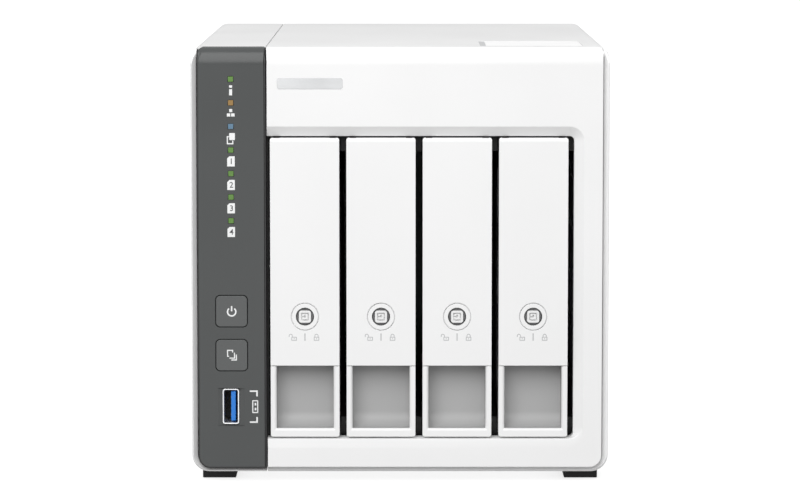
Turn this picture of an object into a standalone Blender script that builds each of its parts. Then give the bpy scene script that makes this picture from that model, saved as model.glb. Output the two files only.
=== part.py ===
"""A four-bay desktop network storage unit, modelled as the separate pieces it is assembled from.

The unit stands on four rubber feet. The origin is on the surface it stands on, under the middle of
the body; the front faces -Y and +Z is up. Every dimension below is in millimetres, and the helpers
turn millimetres into Blender's metres.
"""

import math

import bmesh
import bpy
from mathutils import Matrix, Vector

MM = 0.001

# Overall size and the outer shells
WIDTH = 160.0
DEPTH = 219.0
HEIGHT = 169.0
FOOT_HEIGHT = 4.4
FRONT = -DEPTH / 2
BACK = DEPTH / 2
SIDE = WIDTH / 2
BODY_BOTTOM = FOOT_HEIGHT
WALL = 2.2  # moulded shell wall
FIT = 0.3  # gap between pieces that touch
CORNER_RADIUS = 4.5  # the four long edges of the body
BROW_RADIUS = 7.0  # the front top edge
LIP_RADIUS = 1.4  # the shells' front edge
SHELL_SETBACK = 1.6  # the shells start this far behind the front face
SEAM_X = -51.5  # where the left shell meets the main cover
EDGE_STEPS = 6
BEYOND = 20.0  # how far a cutter runs past what it cuts

# Front mouldings
BEZEL_DEPTH = 7.2
BEZEL_BACK = FRONT + BEZEL_DEPTH
BEZEL_SIDE = 78.05
BEZEL_BOTTOM = 6.3
BEZEL_CORNER = 3.8
FACE_WALL = 2.4
SEAT_GAP = 0.3  # shadow gap between the front mouldings and the shells

# Drive bays, numbered from the left
BAYS = (1, 2, 3, 4)
BAY_PITCH = 29.37
FIRST_BAY_X = -36.7
OPENING_RIGHT = 67.05
OPENING_BOTTOM = 17.75
OPENING_TOP = 134.75
OPENING_LEFT = SEAM_X - 5.0  # the indicator panel closes this side
FUNNEL_WIDTH = 3.85  # sloping border round the opening, seen from the front
FUNNEL_DEPTH = 5.0
FUNNEL_RADIUS = 1.9

# Trays
FACE = FRONT + 0.5  # front surface of the trays
TRAY_HALF = 13.32
TRAY_BOTTOM = 18.15
TRAY_TOP = 134.3
CARRIER_HALF = 12.7
CARRIER_FRONT = -98.6
CARRIER_WALL = 2.3
CARRIER_BACK = 56.5
CARRIER_BOTTOM = 19.5
CARRIER_TOP = 133.1
RAIL_HEIGHT = 5.7
CHEEK_THICKNESS = 1.5
CHEEK_FRONT = -103.2
FLAP_BOTTOM = 45.95
FLAP_THICKNESS = 2.4
SKIRT_THICKNESS = 1.2
SKIRT_BACK = -103.5
SKIRT_TOP = 128.5
HINGE_Y = FACE + 2.6
HINGE_Z = TRAY_TOP - 2.6
BARREL_RADIUS = 1.6
BARREL_HALF = 9.6
PIN_RADIUS = 0.8
EAR_INNER = 10.0
EAR_OUTER = 11.7
EAR_HEIGHT = 4.4
EAR_NOSE = 1.2  # radius round the pin, so that the flap turns past the ear
FASCIA_TOP = FLAP_BOTTOM - 0.25
FASCIA_BACK = -99.0
POCKET_HALF = 11.04
POCKET_BOTTOM = 21.5
POCKET_BACK = -100.2
POCKET_RADIUS = 3.6

# Tray lock
LOCK_Z = 65.0
LOCK_HOLE_RADIUS = 3.6
LOCK_PLUG_RADIUS = 3.3
LOCK_POST_HALF = 2.35
LOCK_POST_CORNER = 0.9
LOCK_FACE = FACE + 1.3
LOCK_BACK = -102.4
CAM_LENGTH = 6.0
CAM_HALF = 1.5
CAM_THICKNESS = 1.5

# Hard drives, 3.5-inch
DRIVE_FRONT = -94.0
DRIVE_LENGTH = 147.0
DRIVE_HEIGHT = 101.6
DRIVE_HALF = 13.05
DRIVE_BACK = DRIVE_FRONT + DRIVE_LENGTH
DRIVE_BOTTOM = 25.5
DRIVE_TOP = DRIVE_BOTTOM + DRIVE_HEIGHT
DRIVE_LID = 1.0
DRIVE_WALL = 4.0
DRIVE_FLOOR = 11.5

# Drive connectors, on the circuit-board side of each drive
SATA_BOTTOM = 33.0
SATA_TOP = 77.0
SATA_LEFT = -11.5
SATA_RIGHT = -5.5
SATA_FRONT = 51.8

# Steel cage round the bays
SHEET = 1.0
CAGE_LEFT = -53.4
CAGE_RIGHT = 69.1
CAGE_FRONT = -98.5
CAGE_BACK = 63.5
CAGE_TOP = 140.2
BASE_BOTTOM = 6.9
GUIDE_FRONT = -97.7
GUIDE_BACK = 58.0
GUIDE_PLATE = 2.0
RIB_HALF = 1.2
RIB_HEIGHT = 5.2

# Circuit boards
BOARD_THICKNESS = 1.6
BOARD_FACE = -69.0  # component side of the main board
BACKPLANE_FRONT = 61.0

# Indicator panel
CONTROL_X = -65.0
LED_TOP = 156.8
LED_PITCH = 9.085
LED_COUNT = 7
LED_WINDOW_HALF = 1.2
LED_PRONG_HALF = 1.05
BUTTON_HALF = 6.0
BUTTON_CORNER = 1.9
POWER_Z = 67.2
COPY_Z = 50.1
BUTTON_TRAVEL = 0.6

# USB-A sockets
USB_HALF_X = 3.35
USB_HALF_Z = 6.9
USB_WALL = 0.5
USB_CORNER = 0.9
USB_LENGTH = 14.0
FRONT_USB_X = -65.43
FRONT_USB_Z = 30.1
TONGUE_HALF_Z = 5.7
TONGUE_THICKNESS = 2.15

# Rear panel, fan and sockets
REAR_FRONT = 107.2
REAR_BACK = REAR_FRONT + SHEET
PORT_FACE = 108.6
FAN_X = 9.0
FAN_Z = 88.0
FAN_SIZE = 120.0
FAN_DEPTH = 25.0
FAN_BORE = 57.5
FAN_BACK = REAR_FRONT - FIT
HUB_RADIUS = 20.0
BLADE_COUNT = 7
GRILLE_RADIUS = 57.0
HEX_PITCH = 9.0
HEX_FLAT = 7.5
SCREW_PITCH = 105.0
DC_Z = 22.0
RESET_Z = 36.0
LAN_Z = (53.0, 73.0)
REAR_USB_Z = (93.0, 111.0)
SECURITY_SLOT_Z = 134.0

# Feet and label
FOOT_INNER = 64.3
FOOT_OUTER = 77.4
FOOT_TAPER = 0.8
FOOT_LENGTH = 18.0
FOOT_INSET = 13.5
LABEL_LEFT = 30.7
LABEL_SIZE = 40.0
LABEL_FRONT = FRONT + 11.5
LABEL_DEPTH = 0.8
LABEL_THICKNESS = 0.25


# ---------------------------------------------------------------- helpers


def in_collection(obj, name="network_storage"):
    collection = bpy.data.collections.get(name)
    if collection is None:
        collection = bpy.data.collections.new(name)
        bpy.context.scene.collection.children.link(collection)
    collection.objects.link(obj)
    return obj


def object_from(bm, name):
    bmesh.ops.recalc_face_normals(bm, faces=bm.faces)
    mesh = bpy.data.meshes.new(name)
    bm.to_mesh(mesh)
    bm.free()
    return in_collection(bpy.data.objects.new(name, mesh))


def box(name, low, high):
    """A block between two opposite corners."""
    low, high = Vector(low) * MM, Vector(high) * MM
    bm = bmesh.new()
    bmesh.ops.create_cube(bm, size=1.0)
    bmesh.ops.scale(bm, vec=high - low, verts=bm.verts)
    bmesh.ops.translate(bm, vec=(low + high) / 2, verts=bm.verts)
    return object_from(bm, name)


def add_cylinder_y(bm, centre, radius, y_low, y_high, sides, turn=0.0):
    """A cylinder along Y about (x, z) centre."""
    middle = Vector((centre[0], (y_low + y_high) / 2, centre[1])) * MM
    matrix = Matrix.Translation(middle) @ Matrix.Rotation(math.pi / 2, 4, "X")
    bmesh.ops.create_cone(
        bm,
        cap_ends=True,
        segments=sides,
        radius1=radius * MM,
        radius2=radius * MM,
        depth=(y_high - y_low) * MM,
        matrix=matrix @ Matrix.Rotation(turn, 4, "Z"),
    )


def cylinder_y(name, centre, radius, y_low, y_high, sides=32):
    bm = bmesh.new()
    add_cylinder_y(bm, centre, radius, y_low, y_high, sides)
    return object_from(bm, name)


def cylinder_along(name, axis, centre, radius, length, sides=32):
    """A cylinder about centre, along the world axis "X" or "Z"."""
    turn = Matrix.Rotation(math.pi / 2, 4, "Y") if axis == "X" else Matrix.Identity(4)
    bm = bmesh.new()
    bmesh.ops.create_cone(
        bm,
        cap_ends=True,
        segments=sides,
        radius1=radius * MM,
        radius2=radius * MM,
        depth=length * MM,
        matrix=Matrix.Translation(Vector(centre) * MM) @ turn,
    )
    return object_from(bm, name)


def rounded_loop(low, high, radii, steps=EDGE_STEPS):
    """A rectangle's outline with its own radius at each corner: bottom left, then anticlockwise."""
    corners = (
        (low[0], low[1], 1, 1, 180),
        (high[0], low[1], -1, 1, 270),
        (high[0], high[1], -1, -1, 0),
        (low[0], high[1], 1, -1, 90),
    )
    points = []
    for (x, y, inward_x, inward_y, start), radius in zip(corners, radii):
        if radius == 0:
            points.append((x, y))
            continue
        for step in range(steps + 1):
            angle = math.radians(start + 90 * step / steps)
            centre_x = x + inward_x * radius
            centre_y = y + inward_y * radius
            points.append((centre_x + radius * math.cos(angle), centre_y + radius * math.sin(angle)))
    return points


PLANES = {
    "XY": Matrix.Identity(4),
    "XZ": Matrix.Rotation(math.pi / 2, 4, "X"),
    "YZ": Matrix(((0, 0, 1, 0), (1, 0, 0, 0), (0, 1, 0, 0), (0, 0, 0, 1))),
}


def outline(name, plane, loops, low, high):
    """A flat outline with any holes, extruded from low to high along the plane's normal."""
    curve = bpy.data.curves.new(name, "CURVE")
    curve.dimensions = "2D"
    curve.fill_mode = "BOTH"
    curve.extrude = (high - low) / 2 * MM
    for loop in loops:
        spline = curve.splines.new("POLY")
        spline.points.add(len(loop) - 1)
        for point, (a, b) in zip(spline.points, loop):
            point.co = (a * MM, b * MM, 0, 1)
        spline.use_cyclic_u = True
    guide = bpy.data.objects.new(name + "_outline", curve)
    bpy.context.scene.collection.objects.link(guide)
    graph = bpy.context.evaluated_depsgraph_get()
    mesh = bpy.data.meshes.new_from_object(guide.evaluated_get(graph))
    bpy.data.objects.remove(guide)
    bm = bmesh.new()
    bm.from_mesh(mesh)
    bmesh.ops.remove_doubles(bm, verts=bm.verts, dist=0.001 * MM)
    middle = (low + high) / 2 * MM
    along = -middle if plane == "XZ" else middle
    bmesh.ops.transform(bm, matrix=PLANES[plane] @ Matrix.Translation((0, 0, along)), verts=bm.verts)
    return object_from(bm, name)


def loft(name, rings):
    """A closed solid through rings of equal length."""
    bm = bmesh.new()
    loops = [[bm.verts.new(Vector(point) * MM) for point in ring] for ring in rings]
    for first, second in zip(loops, loops[1:]):
        for i in range(len(first)):
            j = (i + 1) % len(first)
            bm.faces.new((first[i], first[j], second[j], second[i]))
    bm.faces.new(loops[0])
    bm.faces.new(loops[-1])
    return object_from(bm, name)


def bake(obj):
    """Applies an object's modifiers."""
    graph = bpy.context.evaluated_depsgraph_get()
    mesh = bpy.data.meshes.new_from_object(obj.evaluated_get(graph))
    obj.modifiers.clear()
    obj.data = mesh
    return obj


def combine(target, tools, operation):
    for tool in tools:
        modifier = target.modifiers.new(tool.name, "BOOLEAN")
        modifier.operation = operation
        modifier.solver = "EXACT"
        modifier.object = tool
        bake(target)
        bpy.data.objects.remove(tool)
    return target


def cut(target, *tools):
    return combine(target, tools, "DIFFERENCE")


def join(target, *tools):
    return combine(target, tools, "UNION")


def keep(target, *tools):
    return combine(target, tools, "INTERSECT")


MATERIALS = {}


def paint(obj, name, colour, roughness=0.5, metallic=0.0, smooth_angle=30):
    """Gives a piece its material, and smooth shading across edges flatter than smooth_angle."""
    if name not in MATERIALS:
        material = bpy.data.materials.new(name)
        material.use_nodes = True
        shader = material.node_tree.nodes["Principled BSDF"]
        shader.inputs["Base Color"].default_value = (*colour, 1.0)
        shader.inputs["Roughness"].default_value = roughness
        shader.inputs["Metallic"].default_value = metallic
        MATERIALS[name] = material
    obj.data.materials.clear()
    obj.data.materials.append(MATERIALS[name])
    obj.data.shade_smooth()
    obj.data.set_sharp_from_angle(angle=math.radians(smooth_angle))
    return obj


def white_plastic(obj):
    return paint(obj, "white_plastic", (0.86, 0.86, 0.86), 0.45)


def grey_plastic(obj):
    return paint(obj, "grey_plastic", (0.11, 0.115, 0.115), 0.5)


def black_plastic(obj):
    return paint(obj, "black_plastic", (0.02, 0.02, 0.02), 0.5)


def steel(obj):
    return paint(obj, "zinc_steel", (0.62, 0.63, 0.64), 0.35, 1.0)


def circuit_board(obj):
    return paint(obj, "circuit_board", (0.01, 0.10, 0.04), 0.45)


def set_origin(obj, origin):
    """Moves an object's origin and leaves its shape where it is."""
    origin = Vector(origin) * MM
    obj.data.transform(Matrix.Translation(-origin))
    obj.location = origin
    return obj


def bay_x(bay):
    return FIRST_BAY_X + BAY_PITCH * (bay - 1)


def empty(name, location):
    made = bpy.data.objects.new(name, None)
    made.location = Vector(location) * MM
    return in_collection(made)


# ---------------------------------------------------------------- casings


def rounded_body(name, front):
    """The whole body as one block: a wide brow, rounded long edges and a small front lip."""
    body = box(name, (-SIDE, front, BODY_BOTTOM), (SIDE, BACK, HEIGHT))
    mesh = body.data
    weights = mesh.attributes.new("bevel_weight_edge", "FLOAT", "EDGE")
    for edge in mesh.edges:
        first, second = (mesh.vertices[i].co for i in edge.vertices)
        middle = (first + second) / 2 / MM
        along = (second - first) / MM
        at_front = middle.y < front + 1
        if abs(along.y) > 1:
            radius = CORNER_RADIUS
        elif at_front and abs(along.x) > 1 and middle.z > HEIGHT - 1:
            radius = BROW_RADIUS
        elif at_front:
            radius = LIP_RADIUS
        else:
            radius = 0
        weights.data[edge.index].value = radius / BROW_RADIUS
    bevel = body.modifiers.new("rounding", "BEVEL")
    bevel.limit_method = "WEIGHT"
    bevel.width = BROW_RADIUS * MM
    bevel.segments = EDGE_STEPS
    return bake(body)


def shell(name, x_low, x_high):
    """One of the two shells, cut from a hollow body; the front mouldings sit in its front end."""
    body = rounded_body(name, FRONT + SHELL_SETBACK)
    inner_radius = CORNER_RADIUS - WALL
    hollow = rounded_loop(
        (-SIDE + WALL, BODY_BOTTOM + WALL), (SIDE - WALL, HEIGHT - WALL), [inner_radius] * 4
    )
    seat_side = BEZEL_SIDE + SEAT_GAP
    corner = BEZEL_CORNER + SEAT_GAP
    seat = rounded_loop(
        (-seat_side, BEZEL_BOTTOM - SEAT_GAP), (seat_side, HEIGHT + BEYOND), [corner, corner, 0, 0]
    )
    low = (x_low, FRONT - BEYOND, -BEYOND)
    high = (x_high, BACK + BEYOND, HEIGHT + BEYOND)
    cut(body, outline("hollow", "XZ", [hollow], FRONT - BEYOND, BACK + BEYOND))
    keep(body, box("side", low, high))
    cut(body, outline("seat", "XZ", [seat], FRONT - BEYOND, BEZEL_BACK + FIT))
    return white_plastic(body)


def label_seat():
    """The shallow square recess in the top that the label sits in."""
    low = (LABEL_LEFT, LABEL_FRONT, HEIGHT - LABEL_DEPTH)
    high = (LABEL_LEFT + LABEL_SIZE, LABEL_FRONT + LABEL_SIZE, HEIGHT + BEYOND)
    return box("label_seat", low, high)


def vent_slots(name, x_centre, y_centres):
    """Cutters for a row of air slots through the bottom of a shell."""
    half_width, half_length, radius = 13.0, 1.25, 1.2
    tools = []
    for y in y_centres:
        loop = rounded_loop(
            (x_centre - half_width, y - half_length), (x_centre + half_width, y + half_length), [radius] * 4, 3
        )
        tools.append(outline(name, "XY", [loop], BODY_BOTTOM - BEYOND, BODY_BOTTOM + WALL + 1))
    return tools


def casings():
    left = shell("left_shell", -SIDE - BEYOND, SEAM_X - FIT / 2)
    cover = shell("main_cover", SEAM_X + FIT / 2, SIDE + BEYOND)
    cut(cover, label_seat())
    vent_rows = [-30.0 + 8.0 * row for row in range(8)]
    cut(cover, *vent_slots("vent", FAN_X, vent_rows))
    white_plastic(cover)
    label = box(
        "setup_label",
        (LABEL_LEFT + 2.8, LABEL_FRONT + 0.5, HEIGHT - LABEL_DEPTH + FIT),
        (LABEL_LEFT + LABEL_SIZE - 0.5, LABEL_FRONT + LABEL_SIZE - 0.5, HEIGHT - LABEL_DEPTH + FIT + LABEL_THICKNESS),
    )
    paint(label, "label", (0.9, 0.9, 0.9), 0.4)
    return left, cover


def foot(name, side, y_low):
    """A rubber pad, straight outside and tapered on its inner side."""
    loop = [
        (side * FOOT_OUTER, FOOT_HEIGHT - FIT),
        (side * FOOT_INNER, FOOT_HEIGHT - FIT),
        (side * (FOOT_INNER + FOOT_TAPER), 0.0),
        (side * FOOT_OUTER, 0.0),
    ]
    pad = outline(name, "XZ", [loop], y_low, y_low + FOOT_LENGTH)
    return paint(pad, "rubber", (0.015, 0.015, 0.015), 0.8)


def feet():
    for end, y_low in (("front", FRONT + FOOT_INSET), ("rear", BACK - FOOT_INSET - FOOT_LENGTH)):
        foot(end + "_left_foot", -1, y_low)
        foot(end + "_right_foot", 1, y_low)


# ---------------------------------------------------------------- front


def opening_ring(y, spread):
    """The bay opening's outline at depth y, spread outwards on its top, right and bottom."""
    radius = FUNNEL_RADIUS + spread
    loop = rounded_loop(
        (OPENING_LEFT, OPENING_BOTTOM - spread),
        (OPENING_RIGHT + spread, OPENING_TOP + spread),
        [0, radius, radius, 0],
    )
    return [(x, y, z) for x, z in loop]


def bay_opening():
    """Cutter for the bay opening: a sloping border that narrows to straight walls."""
    overshoot = 1.0
    slope = FUNNEL_WIDTH / FUNNEL_DEPTH
    return loft(
        "opening",
        [
            opening_ring(FRONT - overshoot, FUNNEL_WIDTH + slope * overshoot),
            opening_ring(FRONT + FUNNEL_DEPTH, 0.0),
            opening_ring(BEZEL_BACK + BEYOND, 0.0),
        ],
    )


def front_moulding(name, x_low, x_high, radii):
    """A block with the body's own front and top surface, as wide and deep as a front moulding."""
    block = rounded_body(name, FRONT)
    loop = rounded_loop((x_low, BEZEL_BOTTOM), (x_high, HEIGHT + BEYOND), radii)
    return keep(block, outline("reach", "XZ", [loop], FRONT - BEYOND, BEZEL_BACK))


def front_bezel():
    """White frame round the bays. A bar behind the indicator panel closes it on the left."""
    left = SEAM_X + FIT / 2
    bezel = front_moulding("front_bezel", left, BEZEL_SIDE, [0, BEZEL_CORNER, 0, 0])
    top_space = (left + FACE_WALL, FRONT + FACE_WALL, OPENING_TOP + FUNNEL_WIDTH + FACE_WALL)
    top_limit = (BEZEL_SIDE - FACE_WALL, BACK, HEIGHT - BROW_RADIUS + 2)
    cut(bezel, bay_opening(), box("relief", top_space, top_limit))
    bar_front = BEZEL_BACK + FIT
    bar_back = CAGE_FRONT - 1.2
    bar_right = SEAM_X + 0.9
    link_top = OPENING_TOP + FUNNEL_WIDTH + 1
    join(
        bezel,
        box("link_top", (left + 0.1, BEZEL_BACK - 1, link_top), (left + 2.0, bar_back - 0.1, HEIGHT - 9)),
        box("link_low", (left + 0.1, BEZEL_BACK - 1, 8.0), (left + 2.0, bar_back - 0.1, 13.0)),
        box("bar", (-58.0, bar_front, 7.5), (bar_right, bar_back, HEIGHT - 8)),
    )
    return white_plastic(bezel)


def square_hole(name, centre_z, half, radius):
    loop = rounded_loop(
        (CONTROL_X - half, centre_z - half), (CONTROL_X + half, centre_z + half), [radius] * 4
    )
    return outline(name, "XZ", [loop], FRONT - BEYOND, FRONT + BEYOND)


def usb_hole(x, z, y_low, y_high):
    """Cutter for the hole that a USB socket stands in."""
    half_x, half_z = USB_HALF_X + 0.2, USB_HALF_Z + 0.2
    loop = rounded_loop((x - half_x, z - half_z), (x + half_x, z + half_z), [USB_CORNER] * 4, 3)
    return outline("usb_hole", "XZ", [loop], y_low, y_high)


def led_z(number):
    return LED_TOP - LED_PITCH * number


def indicator_panel():
    """Dark strip with the indicator windows, two buttons and a USB socket in a shallow scoop."""
    right = SEAM_X - FIT / 2
    panel = front_moulding("indicator_panel", -BEZEL_SIDE, right, [BEZEL_CORNER, 0, 0, 0])
    space_low = (-BEZEL_SIDE + FACE_WALL, FRONT + FACE_WALL, BEZEL_BOTTOM + FACE_WALL)
    space_high = (right - FACE_WALL, BEZEL_BACK + BEYOND, HEIGHT - BROW_RADIUS + 2)
    scoop_radius, scoop_depth, scoop_height = 12.5, 1.2, 14.7
    scoop_centre = (FRONT_USB_X + 0.25, FRONT - scoop_radius + scoop_depth, FRONT_USB_Z - 0.2)
    tools = [
        box("space", space_low, space_high),
        cylinder_along("scoop", "Z", scoop_centre, scoop_radius, scoop_height, 48),
        usb_hole(FRONT_USB_X, FRONT_USB_Z, FRONT - BEYOND, FRONT + BEYOND),
    ]
    for z in (POWER_Z, COPY_Z):
        tools.append(square_hole("button_hole", z, BUTTON_HALF + FIT, BUTTON_CORNER + FIT))
    for number in range(LED_COUNT):
        tools.append(square_hole("window", led_z(number), LED_WINDOW_HALF, 0))
    return grey_plastic(cut(panel, *tools))


def light_guide():
    """Clear comb that carries the light from the main board to the seven windows."""
    bar_front, bar_back, tip = FRONT + FACE_WALL + FIT, FRONT + 4.2, FRONT + 0.1
    margin = 2.5
    loop = [(bar_back, LED_TOP + margin), (bar_front, LED_TOP + margin)]
    for number in range(LED_COUNT):
        top, bottom = led_z(number) + LED_PRONG_HALF, led_z(number) - LED_PRONG_HALF
        loop += [(bar_front, top), (tip, top), (tip, bottom), (bar_front, bottom)]
    loop += [(bar_front, led_z(LED_COUNT - 1) - margin), (bar_back, led_z(LED_COUNT - 1) - margin)]
    guide = outline(
        "light_guide", "YZ", [loop], CONTROL_X - LED_PRONG_HALF, CONTROL_X + LED_PRONG_HALF
    )
    return paint(guide, "clear_plastic", (0.8, 0.85, 0.85), 0.15)


def push_button(name, z):
    """Square cap, flush with the panel, with a flange behind it that stops it falling out."""
    flange_half, flange_front, back = BUTTON_HALF + 0.9, FRONT + FACE_WALL + FIT, FRONT + 3.5
    loop = rounded_loop(
        (CONTROL_X - BUTTON_HALF, z - BUTTON_HALF), (CONTROL_X + BUTTON_HALF, z + BUTTON_HALF), [BUTTON_CORNER] * 4
    )
    cap = outline(name, "XZ", [loop], FRONT, back - 0.2)
    flange = box(
        "flange",
        (CONTROL_X - flange_half, flange_front, z - flange_half),
        (CONTROL_X + flange_half, back, z + flange_half),
    )
    return set_origin(grey_plastic(join(cap, flange)), (CONTROL_X, FRONT, z))


def usb_tube(name, x, z, y_low, y_high):
    """Formed steel shell of a USB-A socket."""
    outer = rounded_loop(
        (x - USB_HALF_X, z - USB_HALF_Z), (x + USB_HALF_X, z + USB_HALF_Z), [USB_CORNER] * 4, 3
    )
    inner_x, inner_z = USB_HALF_X - USB_WALL, USB_HALF_Z - USB_WALL
    inner = rounded_loop(
        (x - inner_x, z - inner_z), (x + inner_x, z + inner_z), [USB_CORNER - USB_WALL] * 4, 3
    )
    return outline(name, "XZ", [outer, inner], y_low, y_high)


def usb_tongue(name, x, z, mouth, inwards):
    """Contact tongue on the block that closes the socket. inwards is +1 or -1 along Y."""
    depths = [mouth + inwards * 1.0, mouth + inwards * (USB_LENGTH - 2.8)]
    tongue_left = x - 0.07
    tongue = box(
        name,
        (tongue_left, min(depths), z - TONGUE_HALF_Z),
        (tongue_left + TONGUE_THICKNESS, max(depths), z + TONGUE_HALF_Z),
    )
    half_x, half_z = USB_HALF_X - USB_WALL - 0.15, USB_HALF_Z - USB_WALL - 0.15
    ends = [mouth + inwards * (USB_LENGTH - 3.0), mouth + inwards * (USB_LENGTH - 0.4)]
    block = box("block", (x - half_x, min(ends), z - half_z), (x + half_x, max(ends), z + half_z))
    return join(tongue, block)


def front_usb():
    mouth = FRONT + 0.3
    steel(usb_tube("front_usb_shell", FRONT_USB_X, FRONT_USB_Z, mouth, mouth + USB_LENGTH))
    tongue = usb_tongue("front_usb_tongue", FRONT_USB_X, FRONT_USB_Z, mouth, 1)
    paint(tongue, "blue_plastic", (0.02, 0.18, 0.75), 0.4)


# ---------------------------------------------------------------- trays


def tray_carrier():
    """Open frame round a drive, with hinge ears for the flap at its front."""
    frame = rounded_loop((CARRIER_FRONT, CARRIER_BOTTOM), (CARRIER_BACK, CARRIER_TOP), [0] * 4)
    inside = rounded_loop(
        (CARRIER_FRONT + CARRIER_WALL, CARRIER_BOTTOM + RAIL_HEIGHT),
        (CARRIER_BACK - CARRIER_WALL, CARRIER_TOP - RAIL_HEIGHT),
        [0] * 4,
    )
    carrier = outline("tray_carrier", "YZ", [frame, inside], -CARRIER_HALF, CARRIER_HALF)
    joined = 0.5
    for side in (-1, 1):
        cheek = sorted((side * CARRIER_HALF, side * (CARRIER_HALF - CHEEK_THICKNESS)))
        ear = sorted((side * EAR_INNER, side * EAR_OUTER))
        ear_low = HINGE_Z - EAR_HEIGHT / 2
        pin_centre = (side * (EAR_INNER - 0.3), HINGE_Y, HINGE_Z)
        join(
            carrier,
            box(
                "cheek",
                (cheek[0], CHEEK_FRONT, FLAP_BOTTOM + 0.4),
                (cheek[1], CARRIER_FRONT + joined, CARRIER_TOP - 0.2),
            ),
            box("ear", (ear[0], HINGE_Y, ear_low), (ear[1], CARRIER_FRONT + joined, HINGE_Z + EAR_NOSE - 0.1)),
            cylinder_along("nose", "X", (sum(ear) / 2, HINGE_Y, HINGE_Z), EAR_NOSE, ear[1] - ear[0], 24),
            cylinder_along("pin", "X", pin_centre, PIN_RADIUS, 2.4, 12),
        )
    connector_gap = box(
        "connector_gap",
        (-TRAY_HALF, SATA_FRONT - 3, SATA_BOTTOM - 2),
        (SATA_RIGHT + 1.2, CARRIER_BACK + BEYOND, SATA_TOP + 2),
    )
    air_gap = box(
        "air_gap",
        (-8.5, CARRIER_BACK - BEYOND, SATA_TOP + 8),
        (8.5, CARRIER_BACK + BEYOND, CARRIER_TOP - RAIL_HEIGHT - 4),
    )
    strip_slots = []
    for z_low in (CARRIER_BOTTOM, CARRIER_TOP - 2.0):
        for y in (-62.0, 20.0):
            low, high = (-3.0, y - 16, z_low - 1), (3.0, y + 16, z_low + 3.0)
            strip_slots.append(box("strip_slot", low, high))
    return black_plastic(cut(carrier, connector_gap, air_gap, *strip_slots))


def tray_fascia():
    """White lower front of a tray: a frame round the finger pocket, open upwards behind the flap."""
    fascia = box("tray_fascia", (-TRAY_HALF, FACE, TRAY_BOTTOM), (TRAY_HALF, FASCIA_BACK, FASCIA_TOP))
    back_wall = box(
        "back_wall", (-POCKET_HALF, POCKET_BACK, FASCIA_TOP - 2), (POCKET_HALF, FASCIA_BACK, FASCIA_TOP + 10)
    )
    pocket = rounded_loop(
        (FACE - BEYOND, POCKET_BOTTOM), (POCKET_BACK, FASCIA_TOP + BEYOND), [0, POCKET_RADIUS, 0, 0]
    )
    join(fascia, back_wall)
    cut(fascia, outline("pocket", "YZ", [pocket], -POCKET_HALF, POCKET_HALF))
    return white_plastic(fascia)


def tray_flap():
    """White lever over the upper tray front, hinged along its top edge and pulled from below."""
    top_radius = 1.0  # lets the top edge turn under the opening's border
    plate = rounded_loop((FACE, FLAP_BOTTOM), (FACE + FLAP_THICKNESS, TRAY_TOP), [0, 0, 0, top_radius], 4)
    flap = outline("tray_flap", "YZ", [plate], -TRAY_HALF, TRAY_HALF)
    barrel = cylinder_along("barrel", "X", (0, HINGE_Y, HINGE_Z), BARREL_RADIUS, 2 * BARREL_HALF, 20)
    hook = box("hook", (-4.0, FACE + 2.0, FLAP_BOTTOM + 2.5), (4.0, SKIRT_BACK, FLAP_BOTTOM + 4.5))
    join(flap, barrel, hook)
    for side in (-1, 1):
        skirt = sorted((side * TRAY_HALF, side * (TRAY_HALF - SKIRT_THICKNESS)))
        notch = sorted((side * (EAR_INNER - 0.4), side * (EAR_OUTER + 0.4)))
        join(flap, box("skirt", (skirt[0], FACE + 0.5, FLAP_BOTTOM), (skirt[1], SKIRT_BACK, SKIRT_TOP)))
        cut(
            flap,
            box(
                "ear_notch",
                (notch[0], FACE + 1.1, HINGE_Z - EAR_HEIGHT / 2 - 1.0),
                (notch[1], SKIRT_BACK + 2, TRAY_TOP + 1),
            ),
        )
    bore_length = 2 * BARREL_HALF + 2
    cut(
        flap,
        cylinder_along("bore", "X", (0, HINGE_Y, HINGE_Z), PIN_RADIUS + FIT, bore_length, 12),
        cylinder_y("lock_hole", (0, LOCK_Z), LOCK_HOLE_RADIUS, FACE - 1, SKIRT_BACK, 32),
    )
    return white_plastic(flap)


def tray_lock():
    """Plug that a plastic key turns: a rounded square post in a round well, and a cam behind."""
    plug = cylinder_y("tray_lock", (0, LOCK_Z), LOCK_PLUG_RADIUS, LOCK_FACE, LOCK_BACK, 32)
    post = rounded_loop(
        (-LOCK_POST_HALF, LOCK_Z - LOCK_POST_HALF),
        (LOCK_POST_HALF, LOCK_Z + LOCK_POST_HALF),
        [LOCK_POST_CORNER] * 4,
        4,
    )
    key_recess_half, key_recess_depth = 1.1, 0.6
    cam_back = LOCK_BACK + 0.4
    join(
        plug,
        outline("post", "XZ", [post], FACE + 0.05, LOCK_FACE + 0.5),
        box("cam", (-CAM_HALF, cam_back - CAM_THICKNESS, LOCK_Z), (CAM_HALF, cam_back, LOCK_Z + CAM_LENGTH)),
    )
    recess = box(
        "recess",
        (-key_recess_half, FACE - 1, LOCK_Z - key_recess_half),
        (key_recess_half, FACE + key_recess_depth, LOCK_Z + key_recess_half),
    )
    return paint(cut(plug, recess), "lock_plastic", (0.75, 0.75, 0.75), 0.4)


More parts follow.
